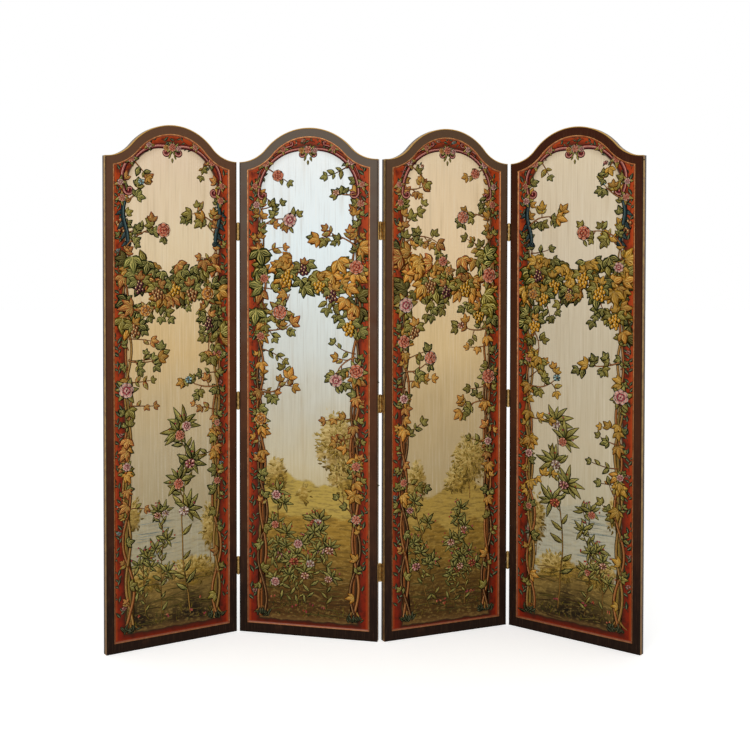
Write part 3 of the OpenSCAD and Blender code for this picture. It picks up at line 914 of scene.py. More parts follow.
def leafGroup(brush, paint, x, z, angle, size, count=3, shade=1.0):
    # one broad leaf of three or five lobes that run into each other at its foot
    rng = brush.rng
    spread = {3: (0, -50, 50), 5: (0, -38, 38, -78, 78)}[count]
    vein = "veinPale" if paint in ("leafDeep", "leafGrey", "leafOlive") else "veinWarm"
    tint = shade * rng.uniform(0.74, 1.2)
    lobes = []
    for turn, share in zip(spread, (1.0, 0.82, 0.82, 0.6, 0.6)):
        long = size * share * rng.uniform(0.92, 1.06)
        lobes.insert(0, brush.leafLines(x, z, angle + turn + rng.uniform(-6, 6), long,
                                        long * (0.6 if count == 3 else 0.5),
                                        rng.uniform(-0.14, 0.14)))
    for lines in lobes:
        brush.leafEdge(paint, lines, tint)
    for lines in lobes:
        brush.stroke(paint, lines[0], lines[1], tint * rng.uniform(0.78, 1.14))
    for lines in lobes:
        brush.leafLights(vein, lines, tint)


def spray(brush, x, z, start, length, paints, leafLong=36.0, thick=1.6, every=30.0,
          grouped=0.5):
    # a twig with a leaf to one side or the other at each of its knots, and one at its tip; a
    # share of the leaves is grouped into lobed ones
    rng = brush.rng
    steps = max(2, int(round(length / every)))
    drift = rng.uniform(-9, 9)
    points = walk(x, z, start, length / steps / 2,
                  [drift / 2 + rng.uniform(-6, 6) for _ in range(2 * steps)])
    brush.twig("stemSienna", points, thick, 0.6)
    side = rng.choice((-1, 1))
    for i in range(2, len(points), 2):
        px, pz = points[i]
        side = -side
        last = i == len(points) - 1
        size = leafLong * rng.uniform(0.8, 1.15) * (1.05 - 0.3 * i / len(points))
        turn = heading(points, i) + (0 if last else side * rng.uniform(38, 70))
        if last or rng.random() < grouped:
            leafGroup(brush, rng.choice(paints), px, pz, turn, size)
        else:
            brush.leaf(rng.choice(paints), px, pz, turn, size, size * rng.uniform(0.48, 0.62),
                       side * rng.uniform(-0.2, 0.1))
        if not last and rng.random() < 0.4:
            size *= 0.7
            brush.leaf(rng.choice(paints), px, pz, heading(points, i) - side * 50, size,
                       size * 0.5)
    return points


def bunch(brush, x, z, paint, count):
    # a rounded cluster of small apples, each with its light; the lower ones in front
    rng = brush.rng
    spots = []
    goldenTurn, spread = 2.4, 6.2
    for k in range(count):
        a, r = goldenTurn * k, spread * math.sqrt(k + 0.3)
        spots.append((x + 0.95 * r * math.cos(a) + rng.uniform(-1.5, 1.5),
                      z + 1.15 * r * math.sin(a) + rng.uniform(-1.5, 1.5)))
    for px, pz in sorted(spots, key=lambda spot: -spot[1]):
        radius = rng.uniform(6.2, 7.6)
        brush.dot("stemDark", px + 0.6, pz - 0.7, radius + 1.2)
        brush.dot(paint, px, pz, radius)
        brush.dot("fruitLight", px - 0.3 * radius, pz + 0.3 * radius, radius * 0.36)


def foliage(brush, x, z, wide, high, count):
    # a soft mass of leaves, in feathery dabs that point outwards, from its shade to its light
    rng = brush.rng
    dabs = []
    for _ in range(count):
        a, r = rng.uniform(0, 2 * math.pi), rng.uniform(0, 1) ** 0.55
        dabs.append((a, r, r * math.sin(a) - 0.5 * r * math.cos(a) + rng.uniform(-0.6, 0.6)))
    for a, r, tone in sorted(dabs, key=lambda dab: dab[2]):
        paint = "treeDark" if tone < -0.35 else "treeMiddle" if tone < 0.3 else "treeLight"
        long = rng.uniform(9, 20)
        brush.leaf(paint, x + r * wide * math.cos(a), z + r * high * math.sin(a),
                   math.degrees(a) + rng.uniform(-50, 50), long,
                   long * rng.uniform(0.35, 0.6), rng.uniform(-0.3, 0.3), edge=False)


def insetPath(inset, step):
    # points round the panel at one distance in from its outline, from the middle of the foot
    # up the left side, over the arch and down the right side
    wide = screen["panelWide"]
    shoulder, crown = screen["shoulderRadius"] + inset, crownRadius - inset
    sideTop = shoulderZ - math.sqrt(max(shoulder ** 2 - inset ** 2, 0))
    left = [(x, inset) for x in np.arange(wide / 2, inset, -step)]
    left += [(inset, z) for z in np.arange(inset, sideTop, step)]
    turn = math.atan2(sideTop - shoulderZ, inset)
    while turn < -tangentTurn:
        left.append((shoulder * math.cos(turn), shoulderZ + shoulder * math.sin(turn)))
        turn += step / shoulder
    turn = math.pi - tangentTurn
    while turn > math.pi / 2:
        left.append((crownX + crown * math.cos(turn), crownZ + crown * math.sin(turn)))
        turn -= step / crown
    right = [(wide - x, z) for x, z in reversed(left)]
    return left + right


def countCoats(coats, points, widths, shared):
    # how many coats there are where this stroke crosses others, its own included
    square = paintRelief["square"]
    squares = set()
    for (ax, az), (bx, bz), a, b in zip(points, points[1:], widths, widths[1:]):
        steps = int(math.hypot(bx - ax, bz - az) / square) + 1
        for k in range(steps + 1):
            t = k / steps
            x, z, w = ax + (bx - ax) * t, az + (bz - az) * t, a + (b - a) * t
            for i in range(int((x - w) // square), int((x + w) // square) + 1):
                for j in range(int((z - w) // square), int((z + w) // square) + 1):
                    squares.add((i, j))
    under = 1 + max(coats.get(place, 0) for place in squares)
    if not shared:
        for place in squares:
            coats[place] = under
    return under


def layPaint(name, panel, strokes, under, coat):
    # turns the strokes into one thin mesh on the board, each stroke in its colour and on top
    # of those painted before it
    curve = bpy.data.curves.new(name, "CURVE")
    curve.dimensions = "3D"
    curve.twist_mode = "Z_UP"
    curve.fill_mode = "FULL"
    curve.bevel_depth = 1.0
    curve.bevel_resolution = 0
    curve.use_fill_caps = True
    for _, points, widths, _, _ in strokes:
        spline = curve.splines.new("POLY")
        spline.points.add(len(points) - 1)
        spline.points.foreach_set("co", [v for x, z in points for v in (x, z, 0.0, 1.0)])
        spline.points.foreach_set("radius", widths)
    piece = bpy.data.objects.new(name, curve)
    bpy.context.collection.objects.link(piece)
    bpy.ops.object.select_all(action="DESELECT")
    piece.select_set(True)
    bpy.context.view_layer.objects.active = piece
    bpy.ops.object.convert(target="MESH")
    mesh = piece.data

    # the end caps come first, last stroke first, and then the rings of every stroke
    total = len(strokes)
    owner = np.concatenate([np.repeat(np.arange(total)[::-1], 2),
                            np.repeat(np.arange(total), [len(s[1]) for s in strokes])])
    flat = np.empty(len(mesh.vertices) * 3)
    mesh.vertices.foreach_get("co", flat)
    rings = flat.reshape(-1, 4, 3)
    reach = rings - rings.mean(axis=1, keepdims=True)
    size = np.maximum(np.linalg.norm(reach[:, 1, :2], axis=1), 1e-6)[:, None]
    toLight = Vector(paintRelief["lightFrom"]).normalized()
    towards = (reach[:, :, 0] * toLight.x + reach[:, :, 1] * toLight.y) / size
    tone, sideLight, topLight = paintRelief["tones"]
    lit = tone + sideLight * towards + topLight * (reach[:, :, 2] > 0.5 * size)
    colours = {key: (np.array(linear(a)[:3]), np.array(linear(b)[:3]))
               for key, (a, b) in palette.items()}
    dark = np.array([colours[s[0]][0] for s in strokes])[owner][:, None, :]
    light = np.array([colours[s[0]][1] for s in strokes])[owner][:, None, :]
    tint = np.array([s[3] for s in strokes])[owner][:, None, None]
    paint = np.clip((dark + (light - dark) * np.clip(lit, 0, 1)[:, :, None]) * tint, 0, 1)
    paint = np.concatenate([paint, np.ones(paint.shape[:2] + (1,))], axis=2)

    rise = (np.array(under) * coat)[owner][:, None]
    depth = screen["boardFace"] - rise - 0.4 * coat * reach[:, :, 2] / size
    local = np.stack([rings[:, :, 0], depth, rings[:, :, 1], np.ones(depth.shape)], axis=2)
    world = local.reshape(-1, 4) @ np.array(panelMatrix(panel)).T
    mesh.vertices.foreach_set("co", world[:, :3].ravel())
    layer = mesh.color_attributes.new("paint", "FLOAT_COLOR", "POINT")
    layer.data.foreach_set("color", paint.ravel())
    mesh.update()
    bpy.ops.object.mode_set(mode="EDIT")
    bpy.ops.mesh.select_all(action="SELECT")
    bpy.ops.mesh.remove_doubles(threshold=0.000001)
    bpy.ops.mesh.normals_make_consistent(inside=False)
    bpy.ops.object.mode_set(mode="OBJECT")
    mesh.materials.append(oilColour)
    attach(piece, "panel_%d" % (panel + 1))
    return piece


# Leaf colours of each panel: those of its green leaves, and those of its autumn ones
greens = [("leafDeep", "leafDeep", "leafOlive", "leafGrey"),
          ("leafDeep", "leafOlive", "leafGrey"),
          ("leafDeep", "leafOlive", "leafOlive"),
          ("leafDeep", "leafDeep", "leafOlive")]
autumn = [("leafOchre", "leafOlive", "leafRust", "leafRust"),
          ("leafOchre", "leafOrange", "leafRust"),
          ("leafOchre", "leafOrange", "leafRust", "leafOrange"),
          ("leafGolden", "leafGolden", "leafOchre", "leafGolden")]


# Trees, bushes, water and flowering plants at the foot
garden = {
    "seed": 131,
    "knotEvery": 22,        # mm of stalk from leaf to leaf
    "leaves": ("leafGrey", "leafOlive", "leafDeep"),
    "tallFrom": 500,
    # level strokes of water: x, lowest and highest z
    "water": [(180, 300, 470), None, None, (310, 300, 470)],
    # flowering plants: x, z, height, lean, leaf length
    "plants": [
        [(322, 96, 700, -9, 66), (214, 100, 380, -8, 42), (150, 110, 240, -4, 36)],
        [(196, 105, 420, -12, 44), (240, 100, 330, 12, 42), (160, 110, 230, -16, 38),
         (318, 100, 300, 14, 40), (216, 96, 200, 4, 38)],
        [(220, 108, 400, -14, 40), (262, 104, 360, 10, 40), (180, 108, 250, -14, 36),
         (330, 100, 260, 16, 38), (286, 96, 180, 6, 36)],
        [(196, 100, 690, 9, 66), (300, 96, 390, 8, 42), (366, 110, 240, 4, 36)],
    ],
    "blooms": [("rosePink", "rosePale"), ("petalBlue", "bluePale"), ("berryPink", "pinkPale"),
               ("roseDeep", "rosePink"), ("roseDeep", "rosePale"), ("pinkPale", "petalWhite")],
}


def paintFan(brush, x, z, course, leafLong, count):
    # leaves that spread from one knot
    rng = brush.rng
    for k in range(count):
        size = leafLong * rng.uniform(0.78, 1.12)
        brush.leaf(rng.choice(garden["leaves"] + ("leafGrey",)), x, z,
                   course + (k - (count - 1) / 2) * 250 / count + rng.uniform(-10, 10), size,
                   size * rng.uniform(0.27, 0.34), rng.uniform(-0.25, 0.25))


def paintPlant(brush, x, z, high, lean, leafLong):
    # a stalk that leans, with narrow leaves to both sides, fans of them and its flowers
    rng = brush.rng
    every = garden["knotEvery"]
    steps = int(high / every)
    points = walk(x, z, 90 - lean, every, [1.6 * lean / steps + rng.uniform(-5, 5)
                                           for _ in range(steps)])
    tall = high > garden["tallFrom"]
    brush.twig("stemOchre", points, 2.6 if tall else 1.8, 0.8)
    side = rng.choice((-1, 1))
    for i in range(3 if tall else 1, len(points) - 1):
        side = -side
        if rng.random() < (0.5 if tall else 0.9):
            size = leafLong * rng.uniform(0.6, 0.9)
            brush.leaf(rng.choice(garden["leaves"]), *points[i],
                       heading(points, i) + side * rng.uniform(35, 75), size, size * 0.34,
                       side * -0.2)
    knots = [(points[-1], 90 + rng.uniform(-20, 20))]
    for share in ((0.5, 0.62, 0.72, 0.86) if tall else (0.35, 0.5, 0.65, 0.8)):
        i = int(len(points) * share)
        side = -side
        course = heading(points, i) + side * rng.uniform(30, 55)
        branch = walk(*points[i], course, 17, [-side * rng.uniform(0, 12)
                                               for _ in range(rng.randint(2, 4))])
        brush.twig("stemOchre", branch, 1.6, 0.7)
        for k in range(1, len(branch) - 1):
            size = leafLong * rng.uniform(0.5, 0.8)
            brush.leaf(rng.choice(garden["leaves"]), *branch[k],
                       heading(branch, k) + rng.choice((-55, 55)), size, size * 0.34)
        knots.append((branch[-1], course))
    for place, course in knots:
        paintFan(brush, *place, course, leafLong, 7 if tall else 5)
    for place, course in knots:
        a = math.radians(course + 180 + rng.uniform(-60, 60))
        fx, fz = place[0] + 14 * math.cos(a), place[1] + 14 * math.sin(a)
        kind = rng.random()
        if tall and kind < 0.45 or kind < 0.14:
            rose(brush, fx, fz, rng.uniform(16, 21) * (1 if tall else 0.85),
                 roseColours[rng.choice((0, 2))])
        elif tall or kind < 0.44:
            blossom(brush, *rng.choice(garden["blooms"][0 if tall else 2:]), fx, fz,
                    rng.uniform(15, 20) * (1 if tall else 0.9), rng.choice((6, 7, 8)))
        for _ in range(2):
            a = math.radians(course + rng.uniform(-70, 70))
            brush.dot(rng.choice(("berryPink", "roseDeep")), place[0] + 34 * math.cos(a),
                      place[1] + 32 * math.sin(a), 3.4)


def paintGarden(brush, panel):
    rng = brush.rng
    wide = screen["panelWide"]
    water = garden["water"][panel]
    if water:
        for _ in range(18):
            z = rng.uniform(water[1], water[2])
            brush.leaf("water", water[0] + rng.uniform(-80, 20), z, rng.uniform(-3, 3),
                       rng.uniform(50, 110), rng.uniform(2, 4), rng.uniform(-0.03, 0.03),
                       edge=False)
    for x, z, w, h in grounds[panel]["trees"]:
        if h > 60:
            brush.line("stemOchre", walk(x, z - h - 36, 90, 14,
                                         [rng.uniform(-6, 6) for _ in range(5)]), 2.4, 1.0)
        foliage(brush, x, z, w, h, int(w * h / 45))
    for _ in range(44):
        z = rng.uniform(72, 250)
        paint = rng.choice(("earthDark", "earthOlive", "earthOlive") if z < 170 else
                           ("earthOlive", "earthOchre"))
        brush.stroke(paint, walk(rng.uniform(80, wide - 170), z, rng.uniform(-4, 4), 22,
                                 [rng.uniform(-9, 9) for _ in range(4)]),
                     [w * rng.uniform(0.7, 1.2) for w in (0.3, 1.8, 2.6, 1.7, 0.3)])
    for plant in garden["plants"][panel]:
        paintPlant(brush, *plant)
    # grass, low flowers and dark tufts where the stems stand
    for _ in range(50):
        size = rng.uniform(10, 22)
        brush.leaf(rng.choice(("leafOlive", "leafDeep", "earthOlive")),
                   rng.uniform(84, wide - 84), rng.uniform(66, 120), rng.uniform(50, 130),
                   size, rng.uniform(2.4, 4), rng.uniform(-0.3, 0.3), edge=False)
    for _ in range(5):
        x, z = rng.uniform(110, wide - 110), rng.uniform(84, 150)
        for _ in range(4):
            brush.dot(rng.choice(("roseDeep", "rosePink", "berryPink")),
                      x + rng.uniform(-9, 9), z + rng.uniform(-4, 4), rng.uniform(2.4, 4))


# Thin sprigs on the red margin, from the foot of both sides up over the arch
margin = {
    "inset": 50.0,
    "step": 4.0,
    "every": 52.0,
    "lowest": 95.0,
    "seed": 11,
    "blooms": [("berryPink", "pinkPale"), ("petalBlue", "bluePale"), ("rosePink", "rosePale")],
}


def paintMargin(brush, _):
    # the same on every panel but for its draws
    rng = brush.rng
    path = [p for p in insetPath(margin["inset"], margin["step"])
            if p[1] > margin["lowest"]]
    i, side = 3, 1
    while i < len(path) - 4:
        x, z = path[i]
        onward = heading(path, i) + (180 if x > crownX else 0)
        side = -side
        off = rng.uniform(-5, 5)
        x += off * math.cos(math.radians(onward + 90))
        z += off * math.sin(math.radians(onward + 90))
        twig = walk(x, z, onward + rng.uniform(-25, 25), 11,
                    [side * rng.uniform(2, 14) for _ in range(4)])
        brush.line("sprigGreen", twig, 1.1, 0.5)
        for k in range(1, 5):
            size = rng.uniform(20, 30) * (1.1 - 0.08 * k) * (0.72 if z > 1690 else 1)
            side = -side
            turn = heading(twig, k) + side * rng.uniform(30, 60)
            brush.leaf("sprigGreen", *twig[k], turn, size, size * 0.5, 0.1, edge=False)
            brush.leaf("sprigPale", *twig[k], turn + 5, 0.72 * size, size * 0.13, 0.1,
                       edge=False)
        if rng.random() < 0.22:
            blossom(brush, *rng.choice(margin["blooms"]), *twig[-1], rng.uniform(6, 9))
        elif rng.random() < 0.35:
            brush.dot(rng.choice(("petalWhite", "pinkPale", "petalBlue")), *twig[-1],
                      rng.uniform(1.4, 2.4))
        i += int(margin["every"] * rng.uniform(0.8, 1.25) / margin["step"])


# Scrolled strapwork round the picture's arched top, over the line where the red ends
scrolls = {
    "seed": 31,
    "startsAbove": 1380.0,
    "posyBelow": 74.0,       # mm from the top of the arch down to the posy
    # straps: from, to (mm along that line), how far inside it at both ends and how far it
    # swells out between, radius and side (1 in, -1 out, 0 none) of both curls, half width
    "straps": [
        [(212, 346, 2, -18, 14, 18, 1, 12, -1, 7.0), (318, 462, -6, 8, 7, 0, 0, 19, 1, 7.4)],
        [(212, 462, 0, 8, 7, 17, 1, 17, 1, 6.0), (262, 430, -16, -12, 5, 0, 0, 9, -1, 3.2)],
    ],
}


def onArch(along, inward):
    # a point beside the inner edge of the red, so far along from its start on the left
    radius, middle = oilGround["archHalf"], oilGround["archMiddle"]
    straight = middle - scrolls["startsAbove"]
    if along < straight:
        return crownX - radius + inward, scrolls["startsAbove"] + along
    turn = (along - straight) / radius
    return (crownX - (radius - inward) * math.cos(turn),
            middle + (radius - inward) * math.sin(turn))


def curled(points, sign, radius):
    # carries the line on into a spiral that closes as it turns
    course = heading(points, len(points) - 1)
    x, z = points[-1]
    result = list(points)
    for _ in range(15):
        course += sign * 25
        x += radius * math.radians(25) * math.cos(math.radians(course))
        z += radius * math.radians(25) * math.sin(math.radians(course))
        radius *= 0.9
        result.append((x, z))
    return result


def mirrored(points):
    return [(screen["panelWide"] - x, z) for x, z in points]


def paintStrap(brush, points, half, paints):
    # a rounded strap: dark edges, its own colour, its shade, a broad light and a thin one
    # beside it, and a round knob at both ends
    n = len(points)
    body = [half * (0.42 + 0.58 * math.sin(math.pi * (i + 0.5) / n) ** 0.9) for i in range(n)]
    up = 1 if points[n // 2][0] > points[n // 3][0] else -1
    brush.stroke(paints[0], points, [w + 1.3 for w in body], 0.6)
    brush.stroke(paints[1], points, body, 1.0)
    brush.stroke(paints[0], beside(points, [-0.5 * up * w for w in body]),
                 [0.26 * w for w in body], 1.1)
    brush.stroke(paints[2], beside(points, [0.34 * up * w for w in body]),
                 [0.24 * w for w in body], 1.0)
    brush.stroke(paints[2], beside(points, [-0.12 * up * w for w in body]),
                 [0.1 * w for w in body], 0.8)
    for end, near in ((points[0], body[0]), (points[-1], body[-1])):
        brush.dot(paints[0], *end, near + 0.3 * half + 1.2, 0.7)
        brush.dot(paints[1], *end, near + 0.3 * half, 1.0)
        brush.dot(paints[2], end[0] - 0.8, end[1] + 1.0, 0.3 * half, 1.0)


def paintScrollwork(brush, panel):
    rng = brush.rng
    wide = screen["panelWide"]
    outer = panel in (0, 3)
    # leaves up the red margins behind the straps, with fruit beside the teal scrolls
    for side in (1, -1):
        for z in range(1395, 1640, 40):
            x = 76 + rng.uniform(-4, 6)
            leafGroup(brush, rng.choice(autumn[panel] if rng.random() < 0.5 else greens[panel]),
                      x if side == 1 else wide - x, z, 90 + side * rng.uniform(-70, 5),
                      rng.uniform(26, 36))
    if outer:
        bunch(brush, 62 if panel == 0 else wide - 62, 1476, "fruitRust", 11)
        # leafy teal scrolls below the straps
        low = [onArch(s, 4 + 9 * math.sin(s / 30)) for s in range(178, 30, -9)]
        low = curled(low, 1, 6)[:-4]
        low = curled(low[::-1], 1, 11)
        for each, side in ((low, 1), (mirrored(low), -1)):
            for k, long in ((12, 30), (16, 38), (20, 40), (24, 34), (28, 26)):
                x, z = each[k]
                brush.leaf("teal", x, z, heading(each, k) + 180 - side * 26, long,
                           0.42 * long, -0.4 * side, "tealPale")
            paintStrap(brush, each, 7.2, ("tealDark", "teal", "tealPale"))
    for start, end, inA, inB, swell, curlA, sideA, curlB, sideB, half in (
            scrolls["straps"][0 if outer else 1]):
        points = []
        for i in range(19):
            t = i / 18
            points.append(onArch(start + (end - start) * t,
                                 inA + (inB - inA) * t - swell * math.sin(math.pi * t)))
        if sideB:
            points = curled(points, -sideB, curlB)
        points = points[::-1]
        if sideA:
            points = curled(points, sideA, curlA)
        for each in (points, mirrored(points)):
            paintStrap(brush, each, half, ("maroon", "crimson", "crimsonPale"))
    # leaves and roses on the shoulders and where the lower curls end
    for along, inward, size in ((318, -18, 30), (236, -18, 24), (398, -14, 22), (184, -8, 28)):
        x, z = onArch(along + rng.uniform(-8, 8), inward)
        for turn in (1, -1):
            px = x if turn == 1 else wide - x
            for k in range(4):
                long = size * rng.uniform(0.9, 1.15)
                brush.leaf(rng.choice(greens[panel] + autumn[panel]), px, z,
                           100 - turn * (30 + 75 * k) + rng.uniform(-15, 15), long,
                           long * 0.5, 0.1 * turn)
            rose(brush, px, z, size * 0.46, rng.choice(roseColours[:3]))
    # the posy at the crown
    top = fullHigh - scrolls["posyBelow"]
    for k in range(10):
        a = 36 * k + rng.uniform(-8, 8)
        brush.leaf(rng.choice(greens[panel]), wide / 2 + 8 * math.cos(math.radians(a)),
                   top - 8, a, rng.uniform(20, 28), 10, 0.1)
    for x, z, radius, colours in ((-24, -6, 10, 3), (25, -7, 9.5, 2), (0, -4, 14.5, panel % 2)):
        rose(brush, wide / 2 + x, top + z, radius, roseColours[colours])
    for x, z in ((-8, -28), (8, -30), (0, -42)):
        brush.leaf("leafOlive", wide / 2 + x, top + z, -90 + 2.5 * x, 17, 7)


# Stems of two twisted strands up both sides, with their roots, leaves and roses
stems = {
    "seed": 53,
    "inset": 80.0,
    "foot": 62.0,
    "top": [1470.0, 1600.0, 1600.0, 1470.0],
    "sway": 16.0,        # mm that a strand swings at the foot, and at the top
    "swayTop": 8.5,
    "swayLong": 330.0,
    "strand": 5.4,       # half width of a strand at the foot
    "step": 12,          # mm from point to point up a stem
    "roseInset": 78,
    # paints of the trunk and of its two strands, on the outer and on the inner panels
    "paints": [("earthOchre", "treeMiddle", "stemSienna", "stemOchre"),
               ("bark", "stemSienna", "bark", "stemSienna")],
    # roses: side, z, radius, colours
    "roses": [
        [(0, 905, 28, 2), (1, 1020, 17, 0), (0, 640, 15, 2), (1, 560, 13, 0), (1, 770, 12, 1)],
        [(1, 960, 26, 0), (0, 780, 24, 3), (1, 620, 16, 0), (0, 1080, 15, 0), (1, 430, 17, 1)],
        [(1, 930, 27, 0), (0, 860, 17, 2), (1, 690, 15, 2), (0, 560, 14, 0), (0, 1065, 24, 0)],
        [(1, 880, 28, 2), (0, 1000, 16, 0), (0, 650, 15, 2), (1, 600, 13, 2), (0, 455, 12, 0)],
    ],
}


def twistedStem(panel, side, phase):
    # the two strands of one stem from its foot up, and the line between them
    middle, first, second = [], [], []
    z, top = stems["foot"], stems["top"][panel]
    while z < top:
        t = z / top
        x = (stems["inset"] + 5 * math.sin(z / 140 + 2 * phase) + 7 * (1 - t) ** 3
             + 3 * math.sin(z / 47 + phase))
        swing = (stems["sway"] + (stems["swayTop"] - stems["sway"]) * t) * math.sin(
            2 * math.pi * z / stems["swayLong"] + phase)
        for points, shift in ((middle, 0), (first, swing), (second, -swing)):
            at = x + shift
            points.append((at if side == 0 else screen["panelWide"] - at, z))
        z += stems["step"]
    return middle, first, second


def paintStems(brush, panel):
    rng = brush.rng
    wide = screen["panelWide"]
    for side in (0, 1):
        phase = rng.uniform(0, 6)
        inward = 1 if side == 0 else -1
        middle, first, second = twistedStem(panel, side, phase)
        # the trunk that the strands rise from, and its roots
        trunk = middle[:70]
        shade, light, one, other = stems["paints"][0 if panel in (0, 3) else 1]
        brush.line("stemDark", trunk, 16, 3.4)
        brush.line(shade, trunk, 14.8, 2.4)
        brush.line(light, beside(trunk, [4.0] * len(trunk)), 4, 0.8)
        brush.line("earthDark", beside(trunk, [-4.0] * len(trunk)), 2.5, 0.6)
        for k in range(5):
            lean = (-46, -24, 2, 26, 50)[k] + rng.uniform(-5, 5)
            x, z = middle[3]
            brush.twig("stemSienna" if k % 2 else "stemOchre",
                       walk(x + lean * 0.16, z, -90 + lean * 0.5, 9, [lean * 0.16] * 4),
                       4.6, 0.8)
        # half turns, so that the strands pass over and under each other
        half = int(round(stems["swayLong"] / 2 / stems["step"]))
        for start in range(0, len(middle) - 2, half):
            over = (start // half) % 2
            order = ((first, one), (second, other))
            for points, paint in (order if over else order[::-1]):
                part = points[start:start + half + 2]
                left = [1 - (start + k) / len(points) for k in range(len(part))]
                widths = [stems["strand"] * (0.58 + 0.42 * t) * min(1, 0.12 + 5 * t)
                          for t in left]
                brush.stroke("stemDark", part, [w + 1.0 for w in widths])
                brush.stroke(paint, part, widths)
                brush.stroke("stemLight", beside(part, [0.3 * w for w in widths]),
                             [0.13 * w for w in widths])
        # leaves in and out, thinner on the ground near the foot
        z = 150.0
        out = bool(side)
        while z < stems["top"][panel] - 10:
            i = min(int((z - stems["foot"]) / stems["step"]), len(middle) - 1)
            x = middle[i][0]
            out = not out
            paints = greens[panel] if rng.random() < 0.62 else autumn[panel]
            if out:
                spray(brush, x, z, 90 + inward * rng.uniform(20, 60), rng.uniform(20, 34),
                      paints, leafLong=rng.uniform(24, 30), every=17, grouped=0.2)
            elif z > 430 and rng.random() < 0.45:
                spray(brush, x, z, 90 - inward * rng.uniform(30, 110),
                      rng.uniform(60, 110), paints, leafLong=rng.uniform(30, 38),
                      every=34)
            else:
                leafGroup(brush, rng.choice(paints), x, z,
                          90 - inward * rng.uniform(20, 120), rng.uniform(28, 40))
            z += rng.uniform(26, 48) if z > 430 else rng.uniform(55, 85)
        for _ in range(9):
            z = rng.uniform(480, 1180)
            i = int((z - stems["foot"]) / stems["step"])
            leafGroup(brush, rng.choice(autumn[panel]), middle[i][0], z,
                      -90 + rng.uniform(-50, 50), rng.uniform(34, 46), rng.choice((3, 5)))
        for _ in range(16):
            size = rng.uniform(18, 30)
            brush.leaf("leafDeep", middle[0][0] + rng.uniform(-26, 26),
                       middle[0][1] + rng.uniform(-4, 10), 90 + rng.uniform(-70, 70), size,
                       size * 0.3, rng.uniform(-0.3, 0.3), "sprigPale", 0.7)
    for side, z, radius, colours in stems["roses"][panel]:
        x = stems["roseInset"] if side == 0 else wide - stems["roseInset"]
        leafyRose(brush, x, z, radius, colours, greens[panel], 1.9, 0.46)


# Loose sprays that cross the pale ground above and below the swag
sprays = {
    "seed": 97,
    # shoots: x, z, heading, length, how far they bend at each step, flower at the tip
    "shoots": [
        [(96, 1398, 62, 170, -7, 26), (412, 1470, 118, 120, 9, 0), (100, 1560, 20, 90, 8, 12),
         (404, 1120, -140, 120, 8, 0), (104, 1010, -30, 130, 6, 0), (408, 905, 200, 120, -7, 14)],
        [(410, 1400, 125, 150, 8, 0), (98, 1470, 48, 130, -9, 25), (410, 1590, 200, 80, -9, 12),
         (100, 1110, -25, 130, 8, 0), (408, 1010, 190, 120, 9, 24), (102, 880, -12, 120, 9, 0)],
        [(98, 1410, 55, 150, -8, 0), (412, 1500, 140, 120, 9, 24), (100, 1610, -14, 80, 9, 0),
         (408, 1110, 205, 130, -8, 14), (102, 960, -20, 130, 8, 25), (406, 840, 170, 120, 8, 0)],
        [(412, 1402, 118, 170, 7, 26), (96, 1480, 58, 120, -9, 0), (408, 1570, 165, 90, -8, 12),
         (102, 1115, -40, 120, -8, 0), (404, 1000, 210, 130, -6, 0), (100, 900, -20, 120, 8, 14)],
    ],
    # twigs that hang from the arch: x, z, heading, length, flower
    "hanging": [
        [(112, 1695, -50, 70, 0), (384, 1708, -120, 56, 0)],
        [(106, 1686, -35, 90, 21), (400, 1690, -140, 84, 0), (76, 1606, -50, 60, 0)],
        [(108, 1690, -40, 84, 0), (402, 1688, -140, 70, 19), (434, 1610, -120, 60, 0)],
        [(396, 1696, -130, 70, 0), (126, 1708, -60, 56, 0)],
    ],
}


def paintSprays(brush, panel):
    rng = brush.rng
    for x, z, start, length, bend, flower in sprays["shoots"][panel]:
        x += -20 if x < crownX else 20
        steps = int(length / 15)
        points = walk(x, z, start, 15, [bend + rng.uniform(-5, 5) for _ in range(steps)])
        brush.twig("stemSienna", points, 2.6, 0.8)
        brush.line("stemLight", beside(points, [0.6] * len(points)), 0.5, 0.2)
        side = 1
        for i in range(2, len(points), 2):
            side = -side
            spray(brush, *points[i], heading(points, i) + side * rng.uniform(35, 75),
                  rng.uniform(14, 40), greens[panel] if rng.random() < 0.7 else autumn[panel],
                  leafLong=rng.uniform(32, 42), thick=1.2, grouped=0.5)
        if flower > 20:
            rose(brush, *points[-1], flower, roseColours[(panel * 2) % 3])
            brush.leaf("leafDeep", points[-1][0], points[-1][1] - flower, -60, 26, 12)
        elif flower:
            blossom(brush, *garden["blooms"][1 if panel in (0, 3) else 0], *points[-1],
                    flower, 6)
        else:
            leafGroup(brush, rng.choice(autumn[panel]), *points[-1],
                      heading(points, len(points) - 1), 42)
    for x, z, start, length, flower in sprays["hanging"][panel]:
        points = spray(brush, x, z, start, length, greens[panel] + autumn[panel][:1],
                       leafLong=33, every=26, grouped=0.3)
        if flower:
            rose(brush, *points[len(points) // 2], flower, roseColours[0])


